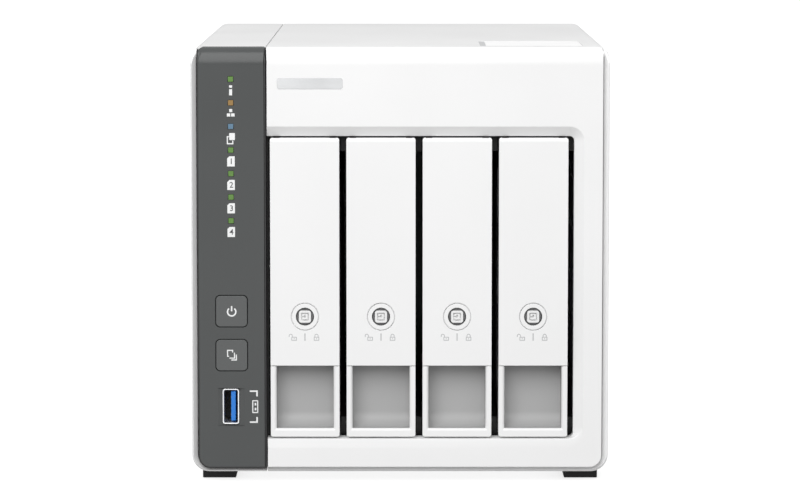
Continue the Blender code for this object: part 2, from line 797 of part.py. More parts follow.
def drive_case():
    """Cast drive body: a tub closed by the lid, notched where the connector enters."""
    lid_seat = DRIVE_HALF - DRIVE_LID
    case = box("drive_case", (-DRIVE_HALF, DRIVE_FRONT, DRIVE_BOTTOM), (lid_seat, DRIVE_BACK, DRIVE_TOP))
    tub_low = (-DRIVE_HALF + DRIVE_FLOOR, DRIVE_FRONT + DRIVE_WALL, DRIVE_BOTTOM + DRIVE_WALL)
    tub_high = (DRIVE_HALF + BEYOND, DRIVE_BACK - DRIVE_WALL, DRIVE_TOP - DRIVE_WALL)
    notch = box(
        "notch",
        (SATA_LEFT - 0.6, SATA_FRONT - 0.8, SATA_BOTTOM - 0.8),
        (SATA_RIGHT + 0.6, DRIVE_BACK + BEYOND, SATA_TOP + 0.8),
    )
    return paint(cut(case, box("tub", tub_low, tub_high), notch), "cast_aluminium", (0.5, 0.5, 0.52), 0.45, 1.0)


def drive_lid():
    """Formed steel lid with cut-back corners."""
    margin, corner = 0.6, 5.0
    loop = rounded_loop(
        (DRIVE_FRONT + margin, DRIVE_BOTTOM + margin), (DRIVE_BACK - margin, DRIVE_TOP - margin), [corner] * 4, 3
    )
    lid_low = DRIVE_HALF - DRIVE_LID + 0.2
    return steel(outline("drive_lid", "YZ", [loop], lid_low, DRIVE_HALF))


def copy_piece(source, name, parent, location):
    """A copy that shares the source's mesh, placed by its origin and held by parent."""
    made = in_collection(bpy.data.objects.new(name, source.data))
    made.parent = parent
    made.matrix_parent_inverse = Matrix.Identity(4)
    made.location = Vector(location) * MM - parent.location
    return made


def trays():
    """Four equal trays, each on an empty that slides; the flap and the lock turn on their origins."""
    hinge = (0, HINGE_Y, HINGE_Z)
    lock_axis = (0, FACE, LOCK_Z)
    fixed = {"carrier": tray_carrier(), "fascia": tray_fascia(), "case": drive_case(), "lid": drive_lid()}
    flap = set_origin(tray_flap(), hinge)
    lock = set_origin(tray_lock(), lock_axis)
    for bay in BAYS:
        x = bay_x(bay)
        slide = empty(f"tray_{bay}_slide", (x, FACE, (TRAY_BOTTOM + TRAY_TOP) / 2))
        for part, source in fixed.items():
            owner = "drive" if part in ("case", "lid") else "tray"
            copy_piece(source, f"{owner}_{bay}_{part}", slide, (x, 0, 0))
        copy_piece(flap, f"tray_{bay}_flap", slide, (x, hinge[1], hinge[2]))
        copy_piece(lock, f"tray_{bay}_lock", slide, (x, lock_axis[1], lock_axis[2]))
    for source in (*fixed.values(), flap, lock):
        bpy.data.objects.remove(source)


# ---------------------------------------------------------------- cage and boards


def cage_wall(name, x_low):
    """Steel side wall with a row of long air slots."""
    loop = rounded_loop((CAGE_FRONT, BASE_BOTTOM + SHEET + FIT), (CAGE_BACK, CAGE_TOP - SHEET - FIT), [0] * 4)
    slots = []
    for row in range(5):
        z = 38.0 + 20.0 * row
        slots.append(rounded_loop((-70.0, z - 3), (35.0, z + 3), [3.0] * 4, 3))
    return steel(outline(name, "YZ", [loop, *slots], x_low, x_low + SHEET))


def guide_loop(plate_near, plate_far, rib_tip):
    """Comb outline of a guide: a plate from wall to wall with a rib beside every tray."""
    left, right = CAGE_LEFT + SHEET + FIT, CAGE_RIGHT - SHEET - FIT
    clearance = 0.7
    ribs = [(left, bay_x(BAYS[0]) - CARRIER_HALF - clearance)]
    for bay in BAYS[:-1]:
        middle = bay_x(bay) + BAY_PITCH / 2
        ribs.append((middle - RIB_HALF, middle + RIB_HALF))
    ribs.append((bay_x(BAYS[-1]) + CARRIER_HALF + clearance, right))
    loop = [(right, plate_far), (left, plate_far)]
    for low, high in ribs:
        loop += [(low, plate_near)] if low != left else []
        loop += [(low, rib_tip), (high, rib_tip)]
        loop += [(high, plate_near)] if high != right else []
    return loop


def guides():
    low_plate = CARRIER_BOTTOM - FIT
    high_plate = CARRIER_TOP + FIT
    lower = guide_loop(low_plate, low_plate - GUIDE_PLATE, low_plate + RIB_HEIGHT)
    upper = guide_loop(high_plate, high_plate + GUIDE_PLATE, high_plate - RIB_HEIGHT)
    black_plastic(outline("lower_guide", "XZ", [lower], GUIDE_FRONT, GUIDE_BACK))
    black_plastic(outline("upper_guide", "XZ", [upper], GUIDE_FRONT, GUIDE_BACK))


def cage():
    inset = WALL + 2.2
    steel(
        box(
            "chassis_base",
            (-SIDE + inset, CAGE_FRONT, BASE_BOTTOM),
            (SIDE - inset, REAR_FRONT - FIT, BASE_BOTTOM + SHEET),
        )
    )
    cage_wall("cage_left_wall", CAGE_LEFT)
    cage_wall("cage_right_wall", CAGE_RIGHT - SHEET)
    steel(box("cage_roof", (CAGE_LEFT, CAGE_FRONT, CAGE_TOP - SHEET), (CAGE_RIGHT, CAGE_BACK, CAGE_TOP)))
    guides()


def sata_socket(bay):
    x = bay_x(bay)
    socket = box(
        f"sata_socket_{bay}",
        (x + SATA_LEFT, SATA_FRONT, SATA_BOTTOM),
        (x + SATA_RIGHT, BACKPLANE_FRONT - FIT, SATA_TOP),
    )
    blade_half, middle = 0.9, x + (SATA_LEFT + SATA_RIGHT) / 2
    slot = box(
        "slot",
        (middle - blade_half, SATA_FRONT - 1, SATA_BOTTOM + 2),
        (middle + blade_half, SATA_FRONT + 4.5, SATA_TOP - 2),
    )
    return black_plastic(cut(socket, slot))


def backplane():
    """Board across the back of the bays, with a socket and an air hole for each drive."""
    margin = 0.6
    board = rounded_loop(
        (CAGE_LEFT + SHEET + margin, CARRIER_BOTTOM + 2), (CAGE_RIGHT - SHEET - margin, CARRIER_TOP - 2), [0] * 4
    )
    holes = []
    for bay in BAYS:
        x = bay_x(bay)
        holes.append(rounded_loop((x - 8, SATA_TOP + 9), (x + 8, SATA_TOP + 47), [3.0] * 4, 3))
        sata_socket(bay)
    circuit_board(
        outline("backplane_board", "XZ", [board, *holes], BACKPLANE_FRONT, BACKPLANE_FRONT + BOARD_THICKNESS)
    )


def chip(name, y, z, length, height, rise):
    """A package on the component side of the main board."""
    return box(
        name,
        (BOARD_FACE - 0.4, y - length / 2, z - height / 2),
        (BOARD_FACE + rise, y + length / 2, z + height / 2),
    )


def main_board():
    """Upright board on the left: indicators and switches at its front edge, sockets at its rear."""
    front_edge, rear_edge = FRONT + 6.0, 104.5
    board = box(
        "main_board",
        (BOARD_FACE - BOARD_THICKNESS, front_edge, 12.0),
        (BOARD_FACE, rear_edge, 160.0),
    )
    parts = [chip("processor", 8.0, 102.0, 26.0, 26.0, 1.2)]
    parts += [chip("memory", 34.0, 84.0 + 24.0 * row, 9.0, 14.0, 1.1) for row in range(2)]
    parts += [chip("coil", -40.0 + 12.0 * row, 140.0, 7.0, 7.0, 4.0) for row in range(4)]
    parts += [chip("capacitor", 60.0 + 10.0 * row, 30.0, 6.5, 6.5, 8.0) for row in range(3)]
    parts.append(chip("fan_header", 70.0, 146.0, 6.0, 10.0, 6.0))
    parts.append(chip("backplane_header", 52.0, 60.0, 6.0, 46.0, 9.0))
    parts.append(chip("reset_switch", 98.0, RESET_Z, 5.5, 6.0, 8.0))
    for z in (POWER_Z, COPY_Z):
        switch_front = FRONT + 4.4
        parts.append(
            box("switch", (BOARD_FACE - 0.4, switch_front, z - 3.0), (BOARD_FACE + 7.0, front_edge + 4, z + 3.0))
        )
    for number in range(LED_COUNT):
        parts.append(chip("led", front_edge + 0.8, led_z(number), 2.4, 2.4, 5.0))
    return circuit_board(join(board, *parts))


def heat_sink():
    """Extruded sink on the processor, its fins running front to back."""
    foot_x, plate, fin_tip = BOARD_FACE + 1.5, 2.0, BOARD_FACE + 12.0
    low, fin_count, pitch, fin = 84.0, 9, 4.375, 1.2
    loop = [(foot_x, low), (foot_x, low + (fin_count - 1) * pitch + fin)]
    for number in reversed(range(fin_count)):
        bottom = low + number * pitch
        loop += [(fin_tip, bottom + fin), (fin_tip, bottom)]
        if number:
            loop += [(foot_x + plate, bottom), (foot_x + plate, bottom - pitch + fin)]
    sink = outline("heat_sink", "XZ", [loop], -11.0, 27.0)
    return paint(sink, "anodised_aluminium", (0.35, 0.36, 0.38), 0.4, 1.0)


# ---------------------------------------------------------------- rear


def hexagon_field():
    """Cutters for the punched fan grille, a honeycomb of hexagons inside a circle."""
    bm = bmesh.new()
    row_height = HEX_PITCH * math.sqrt(3) / 2
    rows = int(GRILLE_RADIUS / row_height) + 1
    corner_radius = HEX_FLAT / math.sqrt(3)
    for row in range(-rows, rows + 1):
        shift = HEX_PITCH / 2 if row % 2 else 0.0
        for column in range(-rows, rows + 1):
            x, z = column * HEX_PITCH + shift, row * row_height
            if math.hypot(x, z) < GRILLE_RADIUS - corner_radius:
                centre = (FAN_X + x, FAN_Z + z)
                add_cylinder_y(bm, centre, corner_radius, REAR_FRONT - 2, REAR_BACK + 2, 6, math.pi / 6)
    return object_from(bm, "hexagons")


def fan_screw_places():
    half = SCREW_PITCH / 2
    return [(FAN_X + i * half, FAN_Z + j * half) for i in (-1, 1) for j in (-1, 1)]


def rear_panel():
    """Steel back plate with the fan grille and the cut-outs for the sockets."""
    inset = WALL + FIT
    low = (-SIDE + inset, BODY_BOTTOM + inset)
    high = (SIDE - inset, HEIGHT - inset)
    panel = outline("rear_panel", "XZ", [rounded_loop(low, high, [2.2] * 4, 3)], REAR_FRONT, REAR_BACK)
    y_low, y_high = REAR_FRONT - 2, REAR_BACK + 2
    tools = [hexagon_field()]
    tools += [cylinder_y("screw_hole", place, 2.2, y_low, y_high, 12) for place in fan_screw_places()]
    for z in LAN_Z:
        tools.append(box("lan_hole", (BOARD_FACE - 0.1, y_low, z - 8.4), (BOARD_FACE + 14.0, y_high, z + 8.4)))
    tools += [usb_hole(FRONT_USB_X, z, y_low, y_high) for z in REAR_USB_Z]
    tools.append(box("dc_hole", (BOARD_FACE - 0.1, y_low, DC_Z - 5.9), (BOARD_FACE + 10.8, y_high, DC_Z + 5.9)))
    tools.append(cylinder_y("reset_hole", (CONTROL_X, RESET_Z), 1.1, y_low, y_high, 16))
    lock_slot = rounded_loop(
        (CONTROL_X - 1.5, SECURITY_SLOT_Z - 3.5), (CONTROL_X + 1.5, SECURITY_SLOT_Z + 3.5), [0.6] * 4, 2
    )
    tools.append(outline("security_slot", "XZ", [lock_slot], y_low, y_high))
    return steel(cut(panel, *tools))


def lan_socket(name, z):
    """Network socket with a plug opening and the groove for the plug's latch."""
    left, right = BOARD_FACE + 0.3, BOARD_FACE + 13.6
    socket = box(name, (left, PORT_FACE - 18.0, z - 8.0), (right, PORT_FACE, z + 8.0))
    depth = PORT_FACE - 12.5
    latch = box("latch", (right - 4.0, depth, z - 2.0), (right - 1.2, PORT_FACE + 1, z + 2.0))
    mouth = box("mouth", (left + 2.6, depth, z - 5.9), (right - 2.6, PORT_FACE + 1, z + 5.9))
    return steel(cut(socket, mouth, latch))


def rear_usb_socket(name, z):
    tube = usb_tube(name, FRONT_USB_X, z, PORT_FACE - USB_LENGTH, PORT_FACE)
    tongue = usb_tongue("tongue", FRONT_USB_X, z, PORT_FACE, -1)
    plug_back = box(
        "plug_back",
        (FRONT_USB_X - USB_HALF_X + 0.1, PORT_FACE - USB_LENGTH + 0.5, z - USB_HALF_Z + 0.1),
        (FRONT_USB_X + USB_HALF_X - 0.1, PORT_FACE - USB_LENGTH + 2.0, z + USB_HALF_Z - 0.1),
    )
    return steel(join(tube, tongue, plug_back))


def dc_jack():
    """Round power inlet with its centre pin."""
    left, right = BOARD_FACE + 0.3, BOARD_FACE + 10.3
    centre = ((left + right) / 2, DC_Z)
    jack = box("dc_jack", (left, PORT_FACE - 13.0, DC_Z - 5.5), (right, PORT_FACE, DC_Z + 5.5))
    cut(jack, cylinder_y("bore", centre, 3.3, PORT_FACE - 10.0, PORT_FACE + 1, 24))
    join(jack, cylinder_y("pin", centre, 1.0, PORT_FACE - 11.0, PORT_FACE - 1.0, 12))
    return black_plastic(jack)


def reset_plunger():
    """Small plunger reached with a pin through the rear panel."""
    centre = (CONTROL_X, RESET_Z)
    plunger = cylinder_y("reset_plunger", centre, 1.2, 101.4, REAR_FRONT - 0.6, 16)
    return set_origin(black_plastic(plunger), (centre[0], REAR_FRONT - 0.6, centre[1]))


def fan_frame():
    """Square fan housing with a round bore, a motor seat and four struts."""
    half = FAN_SIZE / 2
    y_low, y_high = FAN_BACK - FAN_DEPTH, FAN_BACK
    loop = rounded_loop((FAN_X - half, FAN_Z - half), (FAN_X + half, FAN_Z + half), [5.0] * 4, 4)
    frame = outline("fan_frame", "XZ", [loop], y_low, y_high)
    holes = [
        cylinder_y("hole", place, 2.2, y_low - 1, y_high + 1, 12) for place in fan_screw_places()
    ]
    cut(frame, cylinder_y("bore", (FAN_X, FAN_Z), FAN_BORE, y_low - 1, y_high + 1, 64), *holes)
    strut_half, strut_depth = 2.0, 3.0
    reach = FAN_BORE + 1.0
    seat = cylinder_y("seat", (FAN_X, FAN_Z), HUB_RADIUS + 1, y_high - strut_depth, y_high - 0.1, 32)
    y_strut = (y_high - strut_depth + 0.2, y_high - 0.3)
    join(
        frame,
        seat,
        box("strut", (FAN_X - reach, y_strut[0], FAN_Z - strut_half), (FAN_X + reach, y_strut[1], FAN_Z + strut_half)),
        box("strut", (FAN_X - strut_half, y_strut[0], FAN_Z - reach), (FAN_X + strut_half, y_strut[1], FAN_Z + reach)),
    )
    return black_plastic(frame)


def fan_blade(bm, turn, y_low, y_high):
    """One swept, twisted blade as a curved sheet, from inside the hub to near the bore."""
    radial_steps, chord_steps = 4, 4
    root, tip = HUB_RADIUS - 1.5, FAN_BORE - 2.5
    rows = []
    for i in range(radial_steps + 1):
        share = i / radial_steps
        radius = root + (tip - root) * share
        half_chord = math.radians(19.0 + 3.0 * share)
        lead = math.radians(-14.0 * share * share)
        flatten = 1.0 - 0.35 * share
        row = []
        for j in range(chord_steps + 1):
            along = 2 * j / chord_steps - 1
            angle = turn + lead + half_chord * along
            middle = (y_low + y_high) / 2
            y = middle + (y_high - y_low) / 2 * flatten * (along + 0.25 * (1 - along * along))
            point = (FAN_X + radius * math.cos(angle), y, FAN_Z + radius * math.sin(angle))
            row.append(bm.verts.new(Vector(point) * MM))
        rows.append(row)
    for lower, upper in zip(rows, rows[1:]):
        for j in range(chord_steps):
            bm.faces.new((lower[j], lower[j + 1], upper[j + 1], upper[j]))


def fan_rotor():
    """Hub and blades, which turn about the hub's centre line."""
    y_low, y_high = FAN_BACK - FAN_DEPTH + 1.5, FAN_BACK - 4.0
    blades = bmesh.new()
    for number in range(BLADE_COUNT):
        fan_blade(blades, 2 * math.pi * number / BLADE_COUNT, y_low + 2.5, y_high - 1.5)
    sheet = in_collection(bpy.data.objects.new("blades", bpy.data.meshes.new("blades")))
    blades.to_mesh(sheet.data)
    blades.free()
    solid = sheet.modifiers.new("thickness", "SOLIDIFY")
    solid.thickness = 1.5 * MM
    solid.offset = 0
    bake(sheet)
    rotor = cylinder_y("fan_rotor", (FAN_X, FAN_Z), HUB_RADIUS, y_low, y_high, 32)
    join(rotor, sheet)
    return set_origin(black_plastic(rotor), (FAN_X, (y_low + y_high) / 2, FAN_Z))


# ---------------------------------------------------------------- assembly


def main():
    for obj in list(bpy.data.objects):
        bpy.data.objects.remove(obj)
    casings()
    feet()
    front_bezel()
    indicator_panel()
    light_guide()
    push_button("power_button", POWER_Z)
    push_button("copy_button", COPY_Z)
    front_usb()
    trays()
    cage()
    backplane()
    main_board()
    heat_sink()
    rear_panel()
    for number, z in enumerate(LAN_Z, 1):
        lan_socket(f"lan_socket_{number}", z)
    for number, z in enumerate(REAR_USB_Z, 1):
        rear_usb_socket(f"rear_usb_socket_{number}", z)
    dc_jack()
    reset_plunger()
    fan_frame()
    fan_rotor()


main()
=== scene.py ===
"""A four-tray desktop network storage unit: the finished surface of every piece.

Lengths are in millimetres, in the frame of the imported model: the origin is on the surface the unit
stands on, the front faces -Y and +Z is up. The helpers turn millimetres into metres.
"""

from math import cos, hypot, pi, radians, sin, sqrt

import bmesh
import bpy
from mathutils import Matrix, Vector


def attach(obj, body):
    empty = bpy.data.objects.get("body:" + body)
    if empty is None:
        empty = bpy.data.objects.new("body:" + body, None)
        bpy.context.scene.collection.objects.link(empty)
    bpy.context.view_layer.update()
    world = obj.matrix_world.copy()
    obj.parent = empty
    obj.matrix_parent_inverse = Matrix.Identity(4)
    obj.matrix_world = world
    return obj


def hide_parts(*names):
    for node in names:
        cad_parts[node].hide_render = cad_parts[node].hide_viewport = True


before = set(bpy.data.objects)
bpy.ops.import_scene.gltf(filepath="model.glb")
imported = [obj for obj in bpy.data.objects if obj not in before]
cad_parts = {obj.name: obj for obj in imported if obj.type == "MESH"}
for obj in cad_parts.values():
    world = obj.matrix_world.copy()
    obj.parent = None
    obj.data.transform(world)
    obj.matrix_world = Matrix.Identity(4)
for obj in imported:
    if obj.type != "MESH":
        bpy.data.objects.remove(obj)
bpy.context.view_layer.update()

MM = 0.001

# Body and shells
SIDE, FRONT, BACK = 80.6, -109.5, 109.5
BODY_BOTTOM, HEIGHT = 4.1, 169.0
WALL = 2.2
FIT = 0.3
TOP_RADIUS, BASE_RADIUS, BROW_RADIUS, LIP_RADIUS, CHIN_RADIUS = 4.5, 6.6, 7.0, 0.5, 3.0
SHELL_SETBACK, SHELL_SEAM = 1.6, 0.45
SEAM_X = -51.5
BEYOND = 20.0

# Front mouldings
BEZEL_BACK = FRONT + 7.2
BEZEL_SIDE, BEZEL_BOTTOM, BEZEL_CORNER = 78.05, 6.3, 4.8
STRIP_BOTTOM = BEZEL_BOTTOM - 0.45
FACE_WALL = 2.4
SEAT_GAP, RIM_FLARE, RIM_DEPTH = 0.12, 1.85, 1.7
OPENING_RIGHT, OPENING_BOTTOM, OPENING_TOP = 67.05, 17.75, 134.75
OPENING_LEFT = SEAM_X - 5.0
FUNNEL_WIDTH, FUNNEL_DEPTH, FUNNEL_RADIUS = 3.85, 2.6, 1.9
SILL_STEP, SILL_DEPTH = 0.4, 0.5
CAGE_FRONT = -98.5

# Trays
BAYS = (1, 2, 3, 4)
FIRST_BAY_X, BAY_PITCH = -36.7, 29.37
FACE = FRONT + 0.5
TRAY_HALF, TRAY_BOTTOM, TRAY_TOP = 13.32, 18.15, 134.3
FLAP_BOTTOM, FLAP_THICKNESS = 45.95, 2.4
SKIRT_THICKNESS, SKIRT_BACK, SKIRT_TOP = 1.2, -103.5, 128.5
HINGE_Y, HINGE_Z = FACE + 2.6, TRAY_TOP - 2.6
BARREL_RADIUS, BARREL_HALF = 1.6, 9.5
EAR_INNER, EAR_OUTER, EAR_HEIGHT = 10.0, 11.7, 4.4
FASCIA_TOP, FASCIA_BACK = FLAP_BOTTOM - 0.25, -99.0
POCKET_HALF, POCKET_BOTTOM, POCKET_BACK, POCKET_CHAMFER = 11.04, 21.5, -100.2, 0.7
LOCK_Z = 65.0
LOCK_FACE, LOCK_BACK = FACE + 1.3, -102.4
LOCK_RADIUS, WELL_RADIUS, POST_HALF = 3.28, 3.5, 2.33
GROOVE_OUTER, GROOVE_INNER, GROOVE_DEPTH = 5.42, 5.08, 0.9
LEVER_DROP, LEVER_ROUND = 0.15, 1.5  # keep its top edge clear of the opening as it swings

# Drives
DRIVE_FRONT, DRIVE_BACK = -94.0, 53.0
DRIVE_BOTTOM, DRIVE_TOP = 25.5, 127.1
DRIVE_HALF = 13.05
SATA_FRONT, SATA_LEFT, SATA_RIGHT = 51.8, -11.5, -5.5
SATA_BOTTOM, SATA_TOP = 33.0, 77.0

# Indicator strip
CONTROL_X = -65.0
LED_TOP, LED_PITCH, LED_COUNT = 156.8, 9.085, 7
POWER_Z, COPY_Z = 67.2, 50.1
BUTTON_HALF, BUTTON_CORNER = 6.0, 1.6
USB_X, USB_Z = -65.43, 30.1
USB_HALF_X, USB_HALF_Z, USB_WALL, USB_LENGTH = 3.2, 6.9, 0.5, 14.0

# Rear
REAR_FRONT, REAR_BACK, PORT_FACE = 107.2, 108.2, 108.6
FAN_X, FAN_Z, FAN_BORE, FAN_BACK = 9.0, 88.0, 57.5, 106.9
HUB_RADIUS, BLADE_COUNT = 20.0, 7
GRILLE_RADIUS, HEX_PITCH, HEX_FLAT = 57.0, 9.0, 7.5
SCREW_PITCH, FAN_SCREW_HOLE = 105.0, 2.1
LAN_CUTOUT, DC_CUTOUT = (14.0, 8.4), (10.8, 5.9)  # width from BOARD_FACE and half height
RIM_OUTER, RIM_INNER, RIM_RISE = 59.4, 58.2, 0.45
BOARD_FACE = -69.0
DC_Z, RESET_Z, SECURITY_SLOT_Z = 22.0, 36.0, 134.0
LAN_Z, REAR_USB_Z = (53.0, 73.0), (93.0, 111.0)


def bay_x(bay):
    return FIRST_BAY_X + BAY_PITCH * (bay - 1)


# ---------------------------------------------------------------- looks


def linear(shade):
    """The linear value of an 8-bit display shade."""
    share = shade / 255
    return share / 12.92 if share <= 0.04045 else ((share + 0.055) / 1.055) ** 2.4


def shade(red, green=None, blue=None):
    """Linear colour of a display grey or colour."""
    if green is None:
        green = blue = red
    return (linear(red), linear(green), linear(blue))


class Nodes:
    """Short calls for the nodes of a material or a world."""

    def __init__(self, owner):
        owner.use_nodes = True
        self.tree = owner.node_tree

    def node(self, kind, links=(), **settings):
        made = self.tree.nodes.new(kind)
        for name, value in settings.items():
            setattr(made, name, value)
        for socket, source in dict(links).items():
            if isinstance(source, bpy.types.NodeSocket):
                self.tree.links.new(source, made.inputs[socket])
            else:
                made.inputs[socket].default_value = source
        return made

    def span(self, source, low, high, start=0.3, end=0.7):
        links = {"Value": source, "From Min": start, "From Max": end, "To Min": low, "To Max": high}
        return self.node("ShaderNodeMapRange", links).outputs["Result"]


class Look(Nodes):
    """A Principled material under construction."""

    def __init__(self, name, slot, **sockets):
        self.slot = slot
        self.material = bpy.data.materials.new(name)
        super().__init__(self.material)
        self.shader = self.tree.nodes["Principled BSDF"]
        self.place = self.node("ShaderNodeTexCoord").outputs["Object"]
        for socket, value in sockets.items():
            socket = socket.replace("_", " ").title().replace("Ior", "IOR")
            self.shader.inputs[socket].default_value = value

    def stretched(self, scale):
        return self.node("ShaderNodeMapping", {"Vector": self.place, "Scale": scale}).outputs["Vector"]

    def noise(self, size, detail=2.0, stretch=None, rough=0.5):
        """Noise with features about size millimetres across."""
        place = self.stretched(stretch) if stretch else self.place
        links = {"Vector": place, "Scale": 1000.0 / size, "Detail": detail, "Roughness": rough}
        return self.node("ShaderNodeTexNoise", links).outputs["Fac"]

    def blend(self, share, first, second):
        made = self.node("ShaderNodeMix", data_type="RGBA")
        self.tree.links.new(share, made.inputs["Factor"])
        for socket, value in (("A", first), ("B", second)):
            place = [i for i in made.inputs if i.name == socket and i.type == "RGBA"][0]
            if isinstance(value, bpy.types.NodeSocket):
                self.tree.links.new(value, place)
            else:
                place.default_value = (*value, 1.0)
        return [o for o in made.outputs if o.type == "RGBA"][0]

    def bump(self, height, distance, strength=1.0, under=None):
        """Bump from a height of 0 to 1 over distance millimetres."""
        links = {"Height": height, "Distance": distance * MM, "Strength": strength}
        if under is not None:
            links["Normal"] = under
        return self.node("ShaderNodeBump", links).outputs["Normal"]

    def use(self, **sources):
        names = {"colour": "Base Color", "roughness": "Roughness", "normal": "Normal"}
        for name, source in sources.items():
            self.tree.links.new(source, self.shader.inputs[names[name]])
        return self


def moulded(name, slot, colour, roughness, grain=0.45, depth=0.012, drift=0.03, **sockets):
    """Moulded plastic or rubber: a spark-eroded grain, and a slight drift in tone and gloss."""
    look = Look(name, slot, **sockets)
    fine = look.noise(grain, 3.0, rough=0.6)
    broad = look.noise(38.0, 2.0)
    darker = tuple(c * (1 - drift) for c in colour)
    lighter = tuple(min(1.0, c * (1 + drift)) for c in colour)
    return look.use(
        colour=look.blend(look.span(broad, 0.0, 1.0), darker, lighter),
        roughness=look.span(broad, roughness - 0.03, roughness + 0.03),
        normal=look.bump(fine, depth, 0.6),
    )


def brushed(name, slot, colour, roughness, along, depth=0.01):
    """Metal with fine scratches along one axis."""
    stretch = [1.0, 1.0, 1.0]
    stretch["XYZ".index(along)] = 0.02
    look = Look(name, slot, metallic=1.0)
    lines = look.noise(0.5, 3.0, stretch)
    cloud = look.noise(22.0, 2.0)
    dull = tuple(c * 0.86 for c in colour)
    return look.use(
        colour=look.blend(look.span(cloud, 0.0, 1.0), dull, colour),
        roughness=look.span(lines, roughness - 0.08, roughness + 0.1),
        normal=look.bump(lines, depth, 0.5),
    )


def galvanised():
    """Zinc-coated sheet: faint crystal patches under a rolled finish."""
    look = Look("zinc_sheet", "zinc_steel", metallic=1.0)
    cells = look.node("ShaderNodeTexVoronoi", {"Vector": look.place, "Scale": 210.0})
    patch = look.node("ShaderNodeSeparateColor", {"Color": cells.outputs["Color"]}).outputs[0]
    rolled = look.noise(0.9, 2.0, (1.0, 1.0, 0.06))
    return look.use(
        colour=look.blend(patch, shade(176, 178, 180), shade(204, 206, 208)),
        roughness=look.span(patch, 0.34, 0.46, 0.0, 1.0),
        normal=look.bump(rolled, 0.008, 0.4),
    )


def cast_metal():
    """Die-cast aluminium with a pebbled skin and darker patches."""
    look = Look("cast_aluminium", "cast_aluminium", metallic=1.0)
    pebble = look.noise(0.7, 4.0, rough=0.65)
    cloud = look.noise(14.0, 3.0)
    return look.use(
        colour=look.blend(look.span(cloud, 0.0, 1.0), shade(150, 151, 153), shade(186, 187, 189)),
        roughness=look.span(pebble, 0.42, 0.6),
        normal=look.bump(pebble, 0.05, 0.6),
    )


def board_look(name, slot, mask, copper):
    """Solder mask over a maze of copper tracks."""
    look = Look(name, slot, coat_weight=0.3, coat_roughness=0.15)
    cells = look.node(
        "ShaderNodeTexVoronoi",
        {"Vector": look.place, "Scale": 420.0, "Randomness": 0.35},
        distance="CHEBYCHEV",
        feature="F2",
    )
    track = look.span(cells.outputs["Distance"], 0.0, 1.0, 0.74, 0.8)
    weave = look.noise(0.35, 1.0)
    return look.use(
        colour=look.blend(track, mask, copper),
        roughness=look.span(weave, 0.32, 0.42),
        normal=look.bump(track, 0.03, 0.8, look.bump(weave, 0.006, 0.4)),
    )


def lens(name, colour, glow):
    """Frosted end of a light guide, tinted by its indicator."""
    look = Look(name, "clear_plastic", emission_strength=glow)
    look.shader.inputs["Emission Color"].default_value = (*colour, 1.0)
    frost = look.noise(0.3, 3.0)
    pale = tuple(min(1.0, c * 1.15 + 0.01) for c in colour)
    return look.use(
        colour=look.blend(frost, colour, pale),
        roughness=look.span(frost, 0.3, 0.45),
        normal=look.bump(frost, 0.01, 0.5),
    )


def printed(name, slot, colour):
    """Screen-printed ink: a little uneven in cover and gloss."""
    return moulded(name, slot, colour, 0.5, 0.18, 0.004, 0.04)


